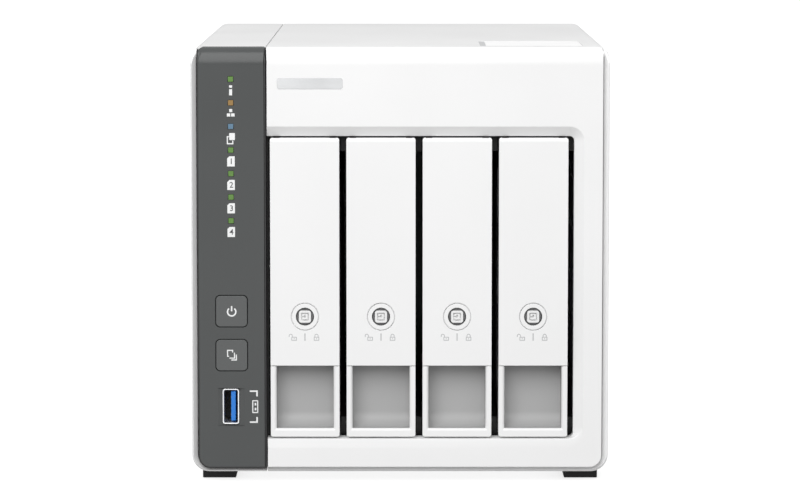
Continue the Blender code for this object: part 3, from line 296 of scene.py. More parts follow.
WHITE = shade(240)
LOOKS = {
    "white": moulded("white_moulding", "white_plastic", WHITE, 0.36, depth=0.01, drift=0.008),
    "white_face": moulded("white_front_moulding", "white_plastic", WHITE, 0.34, depth=0.008, drift=0.008),
    # pocket: white plastic coloured grey, painted shade of the deep finger pocket
    "pocket": moulded("pocket_painted_shade", "white_plastic", shade(172), 0.5, depth=0.012, drift=0.02),
    "grey": moulded("grey_moulding", "grey_plastic", shade(77, 79, 79), 0.22, 0.3, 0.008, ior=1.36),
    "grey_button": moulded("grey_button", "grey_plastic", shade(82, 84, 84), 0.34, 0.3, 0.008),
    "black": moulded("black_moulding", "black_plastic", shade(30, 30, 31), 0.5, 0.5, 0.02),
    # near-black block at a socket's back: painted shade of the socket's depth
    "socket_painted_shade": moulded("socket_back_painted_shade", "black_plastic", shade(9), 0.7, 0.5),
    "fan_black": moulded("fan_moulding", "black_plastic", shade(26, 26, 27), 0.35, 0.6, 0.01),
    "rubber": moulded("foot_rubber", "rubber", shade(17), 0.82, 0.5, 0.04, 0.12),
    # lock_core: dark grey, painted shade of the gap between the lock's post and its well
    "lock_core": moulded("lock_core", "lock_plastic", shade(105, 105, 106), 0.45, 0.3),
    "lock_post": moulded("lock_post", "lock_plastic", shade(236), 0.4, 0.3),
    "lock_slot": moulded("lock_slot", "lock_plastic", shade(160), 0.5, 0.3),
    "blue": moulded("blue_tongue", "blue_plastic", shade(32, 122, 212), 0.35, 0.3),
    "ink_white": printed("white_print", "grey_plastic", shade(238, 239, 239)),
    "ink_grey": printed("grey_print", "white_plastic", shade(186, 187, 188)),
    "ink_dark": printed("dark_print", "grey_plastic", shade(74, 76, 76)),
    "badge": brushed("badge_foil", "white_plastic", shade(196, 197, 198), 0.42, "X", 0.004),
    "film": moulded("label_film", "label", shade(254), 0.45, 2.0, 0.003),
    # grey sheet on the label recess's sloping left side: painted shade of the slope
    "label_slope_shade": printed("label_slope_shade", "label", shade(196, 197, 198)),
    "paper": moulded("paper_label", "label", shade(228, 229, 230), 0.6, 0.25, 0.012),
    "bar_ink": printed("label_print", "label", shade(58, 60, 62)),
    "clear": moulded("clear_guide", "clear_plastic", shade(214, 222, 222), 0.18, 1.0, 0.004),
    "green_lens": lens("green_lens", shade(84, 124, 50), 0.03),
    "amber_lens": lens("amber_lens", shade(140, 108, 56), 0.03),
    "blue_lens": lens("blue_lens", shade(84, 116, 140), 0.03),
    "steel": brushed("bright_steel", "zinc_steel", shade(206, 207, 208), 0.24, "Y"),
    # socket: a lighter copy of the steel so the sockets' thin rims read bright, a painted highlight
    "socket": brushed("socket_steel_painted_highlight", "zinc_steel", shade(238, 239, 240), 0.45, "Y"),
    "screw": brushed("screw_steel", "zinc_steel", shade(184, 185, 188), 0.3, "X"),
    "lid": brushed("lid_steel", "zinc_steel", shade(196, 197, 200), 0.32, "Y"),
    "gold": brushed("gold_contact", "zinc_steel", shade(222, 184, 106), 0.28, "Y"),
    "sink": brushed("anodised_sink", "anodised_aluminium", shade(120, 122, 126), 0.4, "Y"),
    "board": board_look("green_board", "circuit_board", shade(14, 72, 40), shade(34, 104, 58)),
    "drive_board": board_look("drive_board", "circuit_board", shade(16, 60, 52), shade(36, 88, 74)),
    "zinc": galvanised(),
    "cast": cast_metal(),
}


# ---------------------------------------------------------------- shapes


def add_object(data):
    obj = bpy.data.objects.new(data.name, data)
    bpy.context.scene.collection.objects.link(obj)
    return obj


def mesh_object(bm):
    bmesh.ops.recalc_face_normals(bm, faces=bm.faces)
    mesh = bpy.data.meshes.new("shape")
    bm.to_mesh(mesh)
    bm.free()
    return add_object(mesh)


def evaluated_mesh(obj):
    return bpy.data.meshes.new_from_object(obj.evaluated_get(bpy.context.evaluated_depsgraph_get()))


def block(low, high):
    low, high = Vector(low) * MM, Vector(high) * MM
    bm = bmesh.new()
    bmesh.ops.create_cube(bm, size=1.0)
    bmesh.ops.scale(bm, vec=high - low, verts=bm.verts)
    bmesh.ops.translate(bm, vec=(low + high) / 2, verts=bm.verts)
    return mesh_object(bm)


TURNS = {
    "X": Matrix.Rotation(pi / 2, 4, "Y"),
    "Y": Matrix.Rotation(pi / 2, 4, "X"),
    "Z": Matrix.Identity(4),
}


def rod(axis, centre, radius, length, sides=48, tip=None):
    """A cylinder or cone about centre. tip is the radius at its +axis end, or -Y end for axis Y."""
    bm = bmesh.new()
    bmesh.ops.create_cone(
        bm,
        cap_ends=True,
        segments=sides,
        radius1=radius * MM,
        radius2=(radius if tip is None else tip) * MM,
        depth=length * MM,
        matrix=Matrix.Translation(Vector(centre) * MM) @ TURNS[axis],
    )
    return mesh_object(bm)


def corners(low, high, radii, steps=8):
    """A rectangle's outline with a radius for each corner: bottom left, then anticlockwise."""
    if not isinstance(radii, (list, tuple)):
        radii = [radii] * 4
    turns = (
        (low[0], low[1], 1, 1, 180),
        (high[0], low[1], -1, 1, 270),
        (high[0], high[1], -1, -1, 0),
        (low[0], high[1], 1, -1, 90),
    )
    points = []
    for (x, y, in_x, in_y, start), radius in zip(turns, radii):
        if radius == 0:
            points.append((x, y))
            continue
        for step in range(steps + 1):
            angle = radians(start + 90 * step / steps)
            points.append((x + radius * (in_x + cos(angle)), y + radius * (in_y + sin(angle))))
    return points


def square(centre, half_x, half_z=None, radius=0.0, steps=6):
    half_z = half_x if half_z is None else half_z
    low = (centre[0] - half_x, centre[1] - half_z)
    return corners(low, (centre[0] + half_x, centre[1] + half_z), radius, steps)


def ring_points(centre, radius, sides=64, start=0.0, sweep=360.0):
    closed = sweep == 360.0
    count = sides if closed else sides + 1
    angles = [radians(start + sweep * i / sides) for i in range(count)]
    return [(centre[0] + radius * cos(a), centre[1] + radius * sin(a)) for a in angles]


def stroke(points, width):
    """The outline of a pen stroke along points, with mitred corners and square ends."""
    sides = ([], [])
    for i, point in enumerate(points):
        here = Vector(point)
        before = (here - Vector(points[i - 1])).normalized() if i else None
        after = (Vector(points[i + 1]) - here).normalized() if i + 1 < len(points) else None
        before, after = before or after, after or before
        normal = Vector((-(before.y + after.y), before.x + after.x)).normalized()
        reach = width / 2 / max(0.3, normal.dot(Vector((-after.y, after.x))))
        sides[0].append(tuple(here + normal * reach))
        sides[1].append(tuple(here - normal * reach))
    return sides[0] + sides[1][::-1]


PLANES = {
    "XY": Matrix.Identity(4),
    "XZ": Matrix.Rotation(pi / 2, 4, "X"),
    "YZ": Matrix(((0, 0, 1, 0), (1, 0, 0, 0), (0, 1, 0, 0), (0, 0, 0, 1))),
}


def prism(plane, loops, low, high):
    """One outline, or outlines with any holes, from low to high along the plane's normal."""
    curve = bpy.data.curves.new("outline", "CURVE")
    curve.dimensions = "2D"
    curve.fill_mode = "BOTH"
    curve.extrude = (high - low) / 2 * MM
    for loop in [loops] if isinstance(loops[0], tuple) else loops:
        spline = curve.splines.new("POLY")
        spline.points.add(len(loop) - 1)
        for point, (a, b) in zip(spline.points, loop):
            point.co = (a * MM, b * MM, 0, 1)
        spline.use_cyclic_u = True
    return from_curve(curve, plane, (low + high) / 2)


def from_curve(curve, plane, middle):
    """The mesh of a flat curve or text, its caps welded, laid in a plane at depth middle."""
    guide = add_object(curve)
    bm = bmesh.new()
    bm.from_mesh(evaluated_mesh(guide))
    bpy.data.objects.remove(guide)
    bmesh.ops.remove_doubles(bm, verts=bm.verts, dist=0.0005 * MM)
    bmesh.ops.dissolve_limit(bm, angle_limit=0.001, verts=bm.verts, edges=bm.edges)
    along = -middle * MM if plane == "XZ" else middle * MM
    bmesh.ops.transform(bm, matrix=PLANES[plane] @ Matrix.Translation((0, 0, along)), verts=bm.verts)
    return mesh_object(bm)


def loft(rings):
    """A closed solid through rings of equal length."""
    bm = bmesh.new()
    loops = [[bm.verts.new(Vector(point) * MM) for point in ring] for ring in rings]
    for first, second in zip(loops, loops[1:]):
        for i in range(len(first)):
            j = (i + 1) % len(first)
            bm.faces.new((first[i], first[j], second[j], second[i]))
    bm.faces.new(loops[0])
    bm.faces.new(loops[-1])
    return mesh_object(bm)


def bake(obj):
    mesh = evaluated_mesh(obj)
    obj.modifiers.clear()
    obj.data = mesh
    return obj


def combine(operation, target, tools):
    for tool in tools:
        modifier = target.modifiers.new("shape", "BOOLEAN")
        modifier.operation = operation
        modifier.solver = "EXACT"
        modifier.object = tool
        bake(target)
        bpy.data.objects.remove(tool)
    return target


def cut(target, *tools):
    return combine("DIFFERENCE", target, tools)


def join(target, *tools):
    return combine("UNION", target, tools)


def keep(target, *tools):
    return combine("INTERSECT", target, tools)


def gather(parts):
    """Several separate solids as one object."""
    bm = bmesh.new()
    for part in parts:
        part.data.transform(part.matrix_basis)
        bm.from_mesh(part.data)
        bpy.data.objects.remove(part)
    return mesh_object(bm)


def scatter(source, places):
    """Copies of source at each (x, y, z), as one object."""
    bm = bmesh.new()
    for place in places:
        copy = source.data.copy()
        copy.transform(Matrix.Translation(Vector(place) * MM))
        bm.from_mesh(copy)
    bpy.data.objects.remove(source)
    return mesh_object(bm)


SHARP = radians(30)  # faces that meet at more than this have an edge between them


def soften(obj, edge, steps):
    """Rounds the sharp edges by edge millimetres and evens the shading of the flats."""
    obj.data.shade_smooth()
    if edge:
        bevel = obj.modifiers.new("soft_edges", "BEVEL")
        bevel.width = edge * MM
        bevel.segments = steps
        bevel.limit_method = "ANGLE"
        bevel.angle_limit = SHARP
        bevel.use_clamp_overlap = False
        bevel.miter_outer = "MITER_ARC"
    else:
        obj.data.set_sharp_from_angle(angle=SHARP)
    normals = obj.modifiers.new("even_shading", "WEIGHTED_NORMAL")
    normals.keep_sharp = True
    return obj


def leave_crisp(obj, behind):
    """Limits the softening to edges that reach in front of the depth behind, in millimetres."""
    bm = bmesh.new()
    bm.from_mesh(obj.data)
    weight = bm.edges.layers.float.new("bevel_weight_edge")
    for edge in bm.edges:
        if edge.is_manifold and edge.calc_face_angle() > SHARP:
            if min(vertex.co.y for vertex in edge.verts) < behind * MM:
                edge[weight] = 1.0
            else:
                edge.smooth = False
    bm.to_mesh(obj.data)
    bm.free()
    obj.modifiers["soft_edges"].limit_method = "WEIGHT"


def paint(obj, look):
    obj.data.materials.clear()
    obj.data.materials.append(LOOKS[look].material)


def finish(
    obj, name, look, stands_for=(), body="enclosure", edge=0.2, steps=3, crisp_behind=None, triangles=False
):
    """Names, paints and softens a piece, and lets it ride on its body.

    Its edges that don't reach in front of crisp_behind stay sharp. triangles splits its faces with holes.
    """
    obj.name = name
    obj.data.name = name
    paint(obj, look)
    soften(obj, edge, steps)
    if crisp_behind is not None:
        leave_crisp(obj, crisp_behind)
    if triangles:
        split = obj.modifiers.new("triangles", "TRIANGULATE")
        split.min_vertices = 5
        split.keep_custom_normals = True
    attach(obj, body)
    if stands_for:
        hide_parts(*stands_for)


def dress(node, look, edge):
    """A CAD node that keeps its shape gets its look and softer edges."""
    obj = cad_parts[node]
    paint(obj, look)
    weld = obj.modifiers.new("weld", "WELD")
    weld.merge_threshold = 0.001 * MM
    flat = obj.modifiers.new("flat_faces", "DECIMATE")
    flat.decimate_type = "DISSOLVE"
    flat.angle_limit = radians(1.0)
    soften(obj, edge, 2)


def per_bay(source, name, look, stands_for=(), body="tray_{}", **edges):
    """A finished copy of source in every bay. The names hold {} for the bay's number."""
    for bay in BAYS:
        copy = add_object(source.data.copy())
        copy.data.transform(Matrix.Translation((bay_x(bay) * MM, 0, 0)))
        nodes = [node.format(bay) for node in stands_for]
        finish(copy, name.format(bay), look, nodes, body.format(bay), **edges)
    bpy.data.objects.remove(source)


# ---------------------------------------------------------------- casings


SIDES = (("left", "right"), ("front", "back"), ("bottom", "top"))


def rounded_block(low, high, radii):
    """A block whose named edges, such as "front top", each have their own radius."""
    made = block(low, high)
    mesh = made.data
    widest = max(radii.values())
    middle = (Vector(low) + Vector(high)) / 2 * MM
    weights = mesh.attributes.new("bevel_weight_edge", "FLOAT", "EDGE")
    for edge in mesh.edges:
        first, second = (mesh.vertices[i].co for i in edge.vertices)
        level = [axis for axis in range(3) if abs(first[axis] - second[axis]) < 1e-6]
        words = [SIDES[axis][first[axis] > middle[axis]] for axis in level]
        weights.data[edge.index].value = radii.get(" ".join(words), 0) / widest
    bevel = made.modifiers.new("rounding", "BEVEL")
    bevel.limit_method = "WEIGHT"
    bevel.width = widest * MM
    bevel.segments = 14
    bake(made)
    made.data.attributes.remove(made.data.attributes["bevel_weight_edge"])
    return made


def quarter_round(radius, depth):
    """How far a quarter round stands in from the side, at a depth behind the front."""
    short = max(0.0, radius - max(0.0, depth))
    return radius - sqrt(radius**2 - short**2)


def chin(x_low, x_high, z_low, front, radii, side, under):
    """Keeps a moulding's round bottom corners. radii are the left and right ones, 0 for a side left alone.

    side and under round its front edge at the sides and at the bottom.
    """
    steps, slack = 10, 0.02
    turns = [1 - sin(radians(90 * i / steps)) for i in range(steps + 1)]
    bends = {0.0, *(radius * turn for radius in (side, under) for turn in turns)}
    rings = []
    for depth in [-1.0, *sorted(bends), BACK * 3]:
        in_x, in_z = quarter_round(side, depth), quarter_round(under, depth)
        low = x_low - slack + in_x if radii[0] else x_low - BEYOND
        high = x_high + slack - in_x if radii[1] else x_high + BEYOND
        rounds = [radius and radius - (in_x + in_z) / 2 for radius in radii]
        loop = corners((low, z_low + in_z), (high, HEIGHT + BEYOND), [*rounds, 0, 0], 12)
        rings.append([(x, front - slack / 2 + depth, z) for x, z in loop])
    return loft(rings)


def rounded_body(front):
    """The whole body as one block: a wide brow, rounded long edges, side lips and a chin."""
    radii = {"front top": BROW_RADIUS}
    for side in SIDES[0]:
        radii[side + " front"], radii[side + " top"] = LIP_RADIUS, TOP_RADIUS
    made = rounded_block((-SIDE, front, -BEYOND), (SIDE, BACK, HEIGHT), radii)
    base = chin(-SIDE, SIDE, BODY_BOTTOM, front, (BASE_RADIUS, BASE_RADIUS), LIP_RADIUS, CHIN_RADIUS)
    return keep(made, base)


def shell(x_low, x_high, seat_bottom):
    """The part of the body's skin between two x, open at the front for the mouldings."""
    body = rounded_body(FRONT + SHELL_SETBACK)
    low, high = BASE_RADIUS - WALL, TOP_RADIUS - WALL
    radii = [low, low, high, high]
    hollow = corners((-SIDE + WALL, BODY_BOTTOM + WALL), (SIDE - WALL, HEIGHT - WALL), radii)
    cut(body, prism("XZ", hollow, FRONT - BEYOND, BACK + BEYOND))
    keep(body, block((x_low, FRONT - BEYOND, -BEYOND), (x_high, BACK + BEYOND, HEIGHT + BEYOND)))
    return cut(body, seat(seat_bottom))


def seat_ring(y, spread, bottom):
    """The mouldings' outline at y, wider by spread."""
    side, corner = BEZEL_SIDE + spread, BEZEL_CORNER + spread
    loop = corners((-side, bottom - spread), (side, HEIGHT + BEYOND), [corner, corner, 0, 0], 12)
    return [(x, y, z) for x, z in loop]


def seat(bottom):
    """Cutter for the space of the front mouldings, flared where the shells' rims start."""
    rim, overshoot = FRONT + SHELL_SETBACK, 3.0
    flare = RIM_FLARE / RIM_DEPTH
    return loft(
        [
            seat_ring(rim - overshoot, SEAT_GAP + RIM_FLARE + flare * overshoot, bottom),
            seat_ring(rim + RIM_DEPTH, SEAT_GAP, bottom),
            seat_ring(BEZEL_BACK + FIT, SEAT_GAP, bottom),
        ]
    )


LABEL_LEFT, LABEL_SIZE, LABEL_FRONT, LABEL_DEPTH = 30.7, 40.0, FRONT + 11.5, 0.4
LABEL_SLOPE = 2.6


def label_recess():
    """Shallow square with a sloping left side and rounded right corners."""
    slope = LABEL_SLOPE / LABEL_DEPTH
    rings = []
    for rise in (1.0, -LABEL_DEPTH):
        low = (LABEL_LEFT - slope * rise, LABEL_FRONT)
        loop = corners(low, (LABEL_LEFT + LABEL_SIZE, LABEL_FRONT + LABEL_SIZE), [0.3, 1.6, 1.6, 0.3])
        rings.append([(x, y, HEIGHT + rise) for x, y in loop])
    return loft(rings)


def casings():
    """The two shells, the underside's slots and the label in its recess."""
    left_shell = shell(-SIDE - BEYOND, SEAM_X - SHELL_SEAM / 2, STRIP_BOTTOM)
    finish(left_shell, "left_shell_moulding", "white", ["left_shell"], edge=0.0)
    cover = shell(SEAM_X + SHELL_SEAM / 2, SIDE + BEYOND, BEZEL_BOTTOM)
    slots = [square((FAN_X, -30.0 + 8.0 * row), 13.0, 1.25, 1.2) for row in range(8)]
    cut(cover, label_recess(), prism("XY", slots, BODY_BOTTOM - BEYOND, BODY_BOTTOM + WALL + 1))
    finish(cover, "main_cover_moulding", "white", ["main_cover"], edge=0.0)
    left, right = LABEL_LEFT + LABEL_SLOPE, LABEL_LEFT + LABEL_SIZE - 0.15
    front, back = LABEL_FRONT + 0.15, LABEL_FRONT + LABEL_SIZE - 0.15
    floor = HEIGHT - LABEL_DEPTH + 0.02
    film = prism("XY", [corners((left, front), (right, back), [0.3, 1.5, 1.5, 0.3])], floor, floor + 0.3)
    finish(film, "setup_label_film", "film", ["setup_label"], edge=0.06, steps=2)
    # a grey sheet on the recess's sloping left side, painted shade of the slope
    slope = [(LABEL_LEFT + 0.3, HEIGHT - 0.02), (left - 0.05, floor + 0.2), (left - 0.05, floor)]
    slope_shade = prism("XZ", slope, front + 0.1, back - 0.1)
    finish(slope_shade, "setup_label_slope_shade", "label_slope_shade", edge=0.02, steps=1)


FOOT_INNER, FOOT_OUTER, FOOT_TAPER, FOOT_LENGTH, FOOT_INSET = 63.6, 77.1, 0.5, 18.0, 13.5


def feet():
    """Rubber pads with a shallow ribbed sole."""
    groove_pitch, first_groove, groove_half, groove_width, groove_depth = 2.6, 3.0, 4.6, 1.0, 0.5
    ends = {"front": FRONT + FOOT_INSET, "rear": BACK - FOOT_INSET - FOOT_LENGTH}
    for end, y_low in ends.items():
        for side_name, side in (("left", -1), ("right", 1)):
            top = [(side * FOOT_OUTER, BODY_BOTTOM), (side * FOOT_INNER, BODY_BOTTOM)]
            sole = [(side * (FOOT_INNER + FOOT_TAPER), 0.0), (side * FOOT_OUTER, 0.0)]
            pad = prism("XZ", top + sole, y_low, y_low + FOOT_LENGTH)
            middle = side * (FOOT_INNER + FOOT_TAPER + FOOT_OUTER) / 2
            for i in range(5):
                y = y_low + first_groove + groove_pitch * i
                high = (middle + groove_half, y + groove_width, groove_depth)
                cut(pad, block((middle - groove_half, y, -1.0), high))
            node = f"{end}_{side_name}_foot"
            finish(pad, node + "_pad", "rubber", [node], edge=0.35)


# ---------------------------------------------------------------- front


def opening_ring(y, spread, below):
    """The tray opening's outline at y, wider by spread at the right and the top, and by below at the sill."""
    radius = FUNNEL_RADIUS + spread
    low, high = (OPENING_LEFT, OPENING_BOTTOM - below), (OPENING_RIGHT + spread, OPENING_TOP + spread)
    return [(x, y, z) for x, z in corners(low, high, [0, radius, radius, 0], 12)]


def bay_opening():
    """A sloping surround on the right and top, and an almost flat sill."""
    overshoot = 1.0
    slope = FUNNEL_WIDTH / FUNNEL_DEPTH
    sill_slope = (FUNNEL_WIDTH - SILL_STEP) / SILL_DEPTH
    mouth = (FUNNEL_WIDTH + slope * overshoot, FUNNEL_WIDTH + sill_slope * overshoot)
    return loft(
        [
            opening_ring(FRONT - overshoot, *mouth),
            opening_ring(FRONT + SILL_DEPTH, FUNNEL_WIDTH - slope * SILL_DEPTH, SILL_STEP),
            opening_ring(FRONT + FUNNEL_DEPTH, 0.0, 0.0),
            opening_ring(BEZEL_BACK + BEYOND, 0.0, 0.0),
        ]
    )


def front_moulding(x_low, x_high, z_low, outer, corner, edge):
    """A face moulding with the body's brow. edge rounds the bottom and the side that outer names."""
    inner = "left" if outer == "right" else "right"
    radii = {"front top": BROW_RADIUS, outer + " top": 2.2, outer + " front": edge, inner + " front": 0.3}
    made = rounded_block((x_low, FRONT, -BEYOND), (x_high, BEZEL_BACK, HEIGHT), radii)
    bottom_radii = [corner if side == outer else 0 for side in SIDES[0]]
    return keep(made, chin(x_low, x_high, z_low, FRONT, bottom_radii, edge, edge))


def bezel():
    """White front round the bays, the black bar behind its left edge and a blank badge."""
    left = SEAM_X + FIT / 2
    frame_piece = front_moulding(left, BEZEL_SIDE, BEZEL_BOTTOM, "right", BEZEL_CORNER, 0.4)
    top_space = (left + FACE_WALL, FRONT + FACE_WALL, OPENING_TOP + FUNNEL_WIDTH + FACE_WALL)
    top_limit = (BEZEL_SIDE - FACE_WALL, BACK, HEIGHT - BROW_RADIUS + 2)
    cut(frame_piece, bay_opening(), block(top_space, top_limit))
    name = "front_bezel_moulding"
    finish(frame_piece, name, "white_face", ["front_bezel"], edge=0.15, crisp_behind=BEZEL_BACK - 0.5)
    bar_right, bar_back = SEAM_X + 0.9, CAGE_FRONT - 1.2
    link_top = OPENING_TOP + FUNNEL_WIDTH + 1
    bar = join(
        block((left + 0.1, BEZEL_BACK + 0.05, link_top), (left + 2.0, bar_back - 0.1, HEIGHT - 9)),
        block((left + 0.1, BEZEL_BACK + 0.05, 8.0), (left + 2.0, bar_back - 0.1, 13.0)),
        block((-58.0, BEZEL_BACK + FIT, 7.5), (bar_right, bar_back, HEIGHT - 8)),
    )
    finish(bar, "bezel_side_bar", "black")
    badge = prism("XZ", square((-34.6, 155.1), 12.6, 2.15, 0.9), FRONT - 0.12, FRONT + 0.1)
    finish(badge, "blank_badge", "badge", edge=0.08, steps=2)


def led_z(number):
    return LED_TOP - LED_PITCH * number


SCOOP_RADIUS, SCOOP_DEPTH, SCOOP_HEIGHT = 12.5, 1.2, 14.7
TRIM, TRIM_SETBACK = 0.46, 0.4


def strip_trim(right):
    """Black edge round the indicator strip, a little behind its face, as painted shadow of the dark line
    round the strip.
    """
    outer = corners((-BEZEL_SIDE, STRIP_BOTTOM), (right, HEIGHT + BEYOND), [BEZEL_CORNER, 0, 0, 0], 12)
    low = (-BEZEL_SIDE + TRIM + 0.03, STRIP_BOTTOM + TRIM + 0.03)
    inner = corners(low, (right - TRIM - 0.03, HEIGHT + BEYOND + 1), [BEZEL_CORNER - TRIM, 0, 0, 0], 12)
    ring = cut(prism("XZ", outer, FRONT, BEZEL_BACK), prism("XZ", inner, FRONT - 1, BEZEL_BACK + 1))
    low, high = (-SIDE, FRONT + TRIM_SETBACK, -BEYOND), (0, BACK, HEIGHT - TRIM_SETBACK)
    reach = rounded_block(low, high, {"front top": BROW_RADIUS, "left top": 4.8})
    # the ring's black is painted shadow round the strip's edge
    finish(keep(ring, reach), "indicator_strip_shadow_line", "black", edge=0.0)


def indicator_strip():
    """Grey panel with its windows, button holes and a scooped socket mouth."""
    right = SEAM_X - FIT / 2
    left, bottom = -BEZEL_SIDE + TRIM, STRIP_BOTTOM + TRIM
    panel = front_moulding(left, right - TRIM, bottom, "left", BEZEL_CORNER - TRIM, 0.5)
    low = (-BEZEL_SIDE + FACE_WALL, FRONT + FACE_WALL, BEZEL_BOTTOM + FACE_WALL)
    high = (right - FACE_WALL, BEZEL_BACK + BEYOND, HEIGHT - BROW_RADIUS + 2)
    scoop_centre = (USB_X + 0.25, FRONT - SCOOP_RADIUS + SCOOP_DEPTH, USB_Z - 0.2)
    hole, corner = BUTTON_HALF + FIT, BUTTON_CORNER + FIT
    holes = [square((CONTROL_X, z), hole, None, corner) for z in (POWER_Z, COPY_Z)]
    holes += [square((CONTROL_X, led_z(n)), 1.08, None, 0.1, 2) for n in range(LED_COUNT)]
    holes.append(square((USB_X, USB_Z), USB_HALF_X + 0.12, USB_HALF_Z + 0.12, 1.0))
    cut(
        panel,
        block(low, high),
        rod("Z", scoop_centre, SCOOP_RADIUS, SCOOP_HEIGHT, 160),
        prism("XZ", holes, FRONT - BEYOND, FRONT + BEYOND),
    )
    strip_trim(right)
    name = "indicator_strip_moulding"
    finish(panel, name, "grey", ["indicator_panel"], edge=0.12, crisp_behind=BEZEL_BACK - 0.5)


def light_guides():
    """A comb of clear guides, and a lens at the tip of each."""
    bar_front, bar_back = FRONT + FACE_WALL + FIT, FRONT + 4.2
    loop = [(bar_back, LED_TOP + 2.5), (bar_front, LED_TOP + 2.5)]
    for number in range(LED_COUNT):
        top, bottom = led_z(number) + 1.0, led_z(number) - 1.0
        loop += [(bar_front, top), (FRONT + 1.2, top), (FRONT + 1.2, bottom), (bar_front, bottom)]
    low = led_z(LED_COUNT - 1) - 2.5
    loop += [(bar_front, low), (bar_back, low)]
    comb = prism("YZ", loop, CONTROL_X - 1.0, CONTROL_X + 1.0)
    finish(comb, "light_guide_comb", "clear", ["light_guide"], edge=0.1)
    colours = ("green", "amber", "blue", "green", "green", "green", "green")
    for number, colour in enumerate(colours, 1):
        window = square((CONTROL_X, led_z(number - 1)), 1.0, None, 0.12, 2)
        tip = prism("XZ", window, FRONT + 0.02, FRONT + 1.18)
        finish(tip, f"indicator_lens_{number}", colour + "_lens", edge=0.06, steps=2)


INK = 0.03  # how far a print stands out


def print_loops(loops, front, name, look, body="enclosure"):
    """Ink over each loop on a face at front. Loops that cross are laid one by one."""
    ink = gather([prism("XZ", loop, front - INK, front + INK) for loop in loops])
    finish(ink, name, look, body=body, edge=0.0)


def page_outline(centre, half_x=1.45, half_z=1.95, notch=0.85):
    x, z = centre
    return [
        (x - half_x, z - half_z),
        (x + half_x, z - half_z),
        (x + half_x, z + half_z),
        (x - half_x + notch, z + half_z),
        (x - half_x, z + half_z - notch),
    ]


def indicator_prints():
    """Status, network, copy and bay marks beside the lenses, the bays' digits, and the socket's mark."""
    x = CONTROL_X + 0.05
    numbered = (125.2, 116.1, 107.1, 97.95)
    loops = [square((x, 153.98), 0.57, 0.46), square((x, 151.75), 0.57, 1.17)]
    loops.append(square((x, 144.75), 0.58, 0.58))
    loops += [square((x + offset, 143.05), 0.66, 0.6) for offset in (-0.82, 0.82)]
    left, right, low = x - 1.35, x + 0.75, 132.0
    loops.append(stroke([(x - 0.75, 134.7), (left, 134.7), (left, low), (right, low), (right, 133.2)], 0.42))
    loops.append(corners((x - 0.6, 133.4), (x + 1.55, 136.1), 0.2, 2))
    loops += [page_outline((x, z)) for z in numbered]
    print_loops(loops, FRONT, "indicator_icons", "ink_white")
    digits = []
    for number, z in enumerate(numbered, 1):
        text = bpy.data.curves.new("digit", "FONT")
        text.body = str(number)
        text.size = 3.1 * MM
        text.align_x = "CENTER"
        text.align_y = "CENTER"
        text.extrude = 0.01 * MM
        text.offset = 0.03 * MM
        digit = from_curve(text, "XZ", FRONT - INK - 0.008)
        digit.data.transform(Matrix.Translation(((x + 0.12) * MM, 0, (z - 0.1) * MM)))
        digits.append(digit)
    finish(gather(digits), "indicator_digits", "ink_dark", edge=0.0)
    left, right, ends = -58.1, -55.3, ((36.1, -2.0), (24.0, 2.0))
    marks = [stroke([(left, z), (right, z), (right, z + turn)], 0.58) for z, turn in ends]
    plug = (-56.0, 30.05)
    marks.append([square(plug, 1.15, 2.5, 0.25, 2), square(plug, 0.75, 2.1, 0.1, 2)])
    marks += [square((plug[0] + 0.1, plug[1] + dz), 0.3, 0.5) for dz in (-0.95, 0.95)]
    print_loops(marks, FRONT, "socket_marks", "ink_white")


def buttons():
    """Square caps on a flange, each with a printed mark."""
    for name, z in (("power", POWER_Z), ("copy", COPY_Z)):
        body = name + "_button"
        cap = prism("XZ", square((CONTROL_X, z), BUTTON_HALF, None, BUTTON_CORNER), FRONT, FRONT + 3.3)
        flange_front = FRONT + FACE_WALL + FIT
        flange = prism("XZ", square((CONTROL_X, z), BUTTON_HALF + 0.9, None, 1.0), flange_front, FRONT + 3.5)
        finish(join(cap, flange), body + "_cap", "grey_button", [body], body)
    x = CONTROL_X + 0.05
    ring = stroke(ring_points((x, POWER_Z - 0.2), 1.6, 48, 130, 280), 0.56)
    bar = stroke([(x, POWER_Z), (x, POWER_Z + 2.0)], 0.56)
    print_loops([ring, bar], FRONT, "power_mark", "ink_white", "power_button")
    loops = []
    wide, tall = 1.95, 2.3
    for step in range(3):
        left, top = x - 1.65 + 0.72 * step, COPY_Z + 1.9 - 0.72 * step
        right, bottom = left + wide, top - tall
        if step == 0:
            path = [(right, top - 0.8), (right, top), (left, top), (left, bottom), (left + 0.6, bottom)]
        else:
            path = [(left, bottom), (right, bottom), (right, top - 0.2)]
        loops.append(stroke(path, 0.42))
    print_loops(loops, FRONT, "copy_mark", "ink_white", "copy_button")


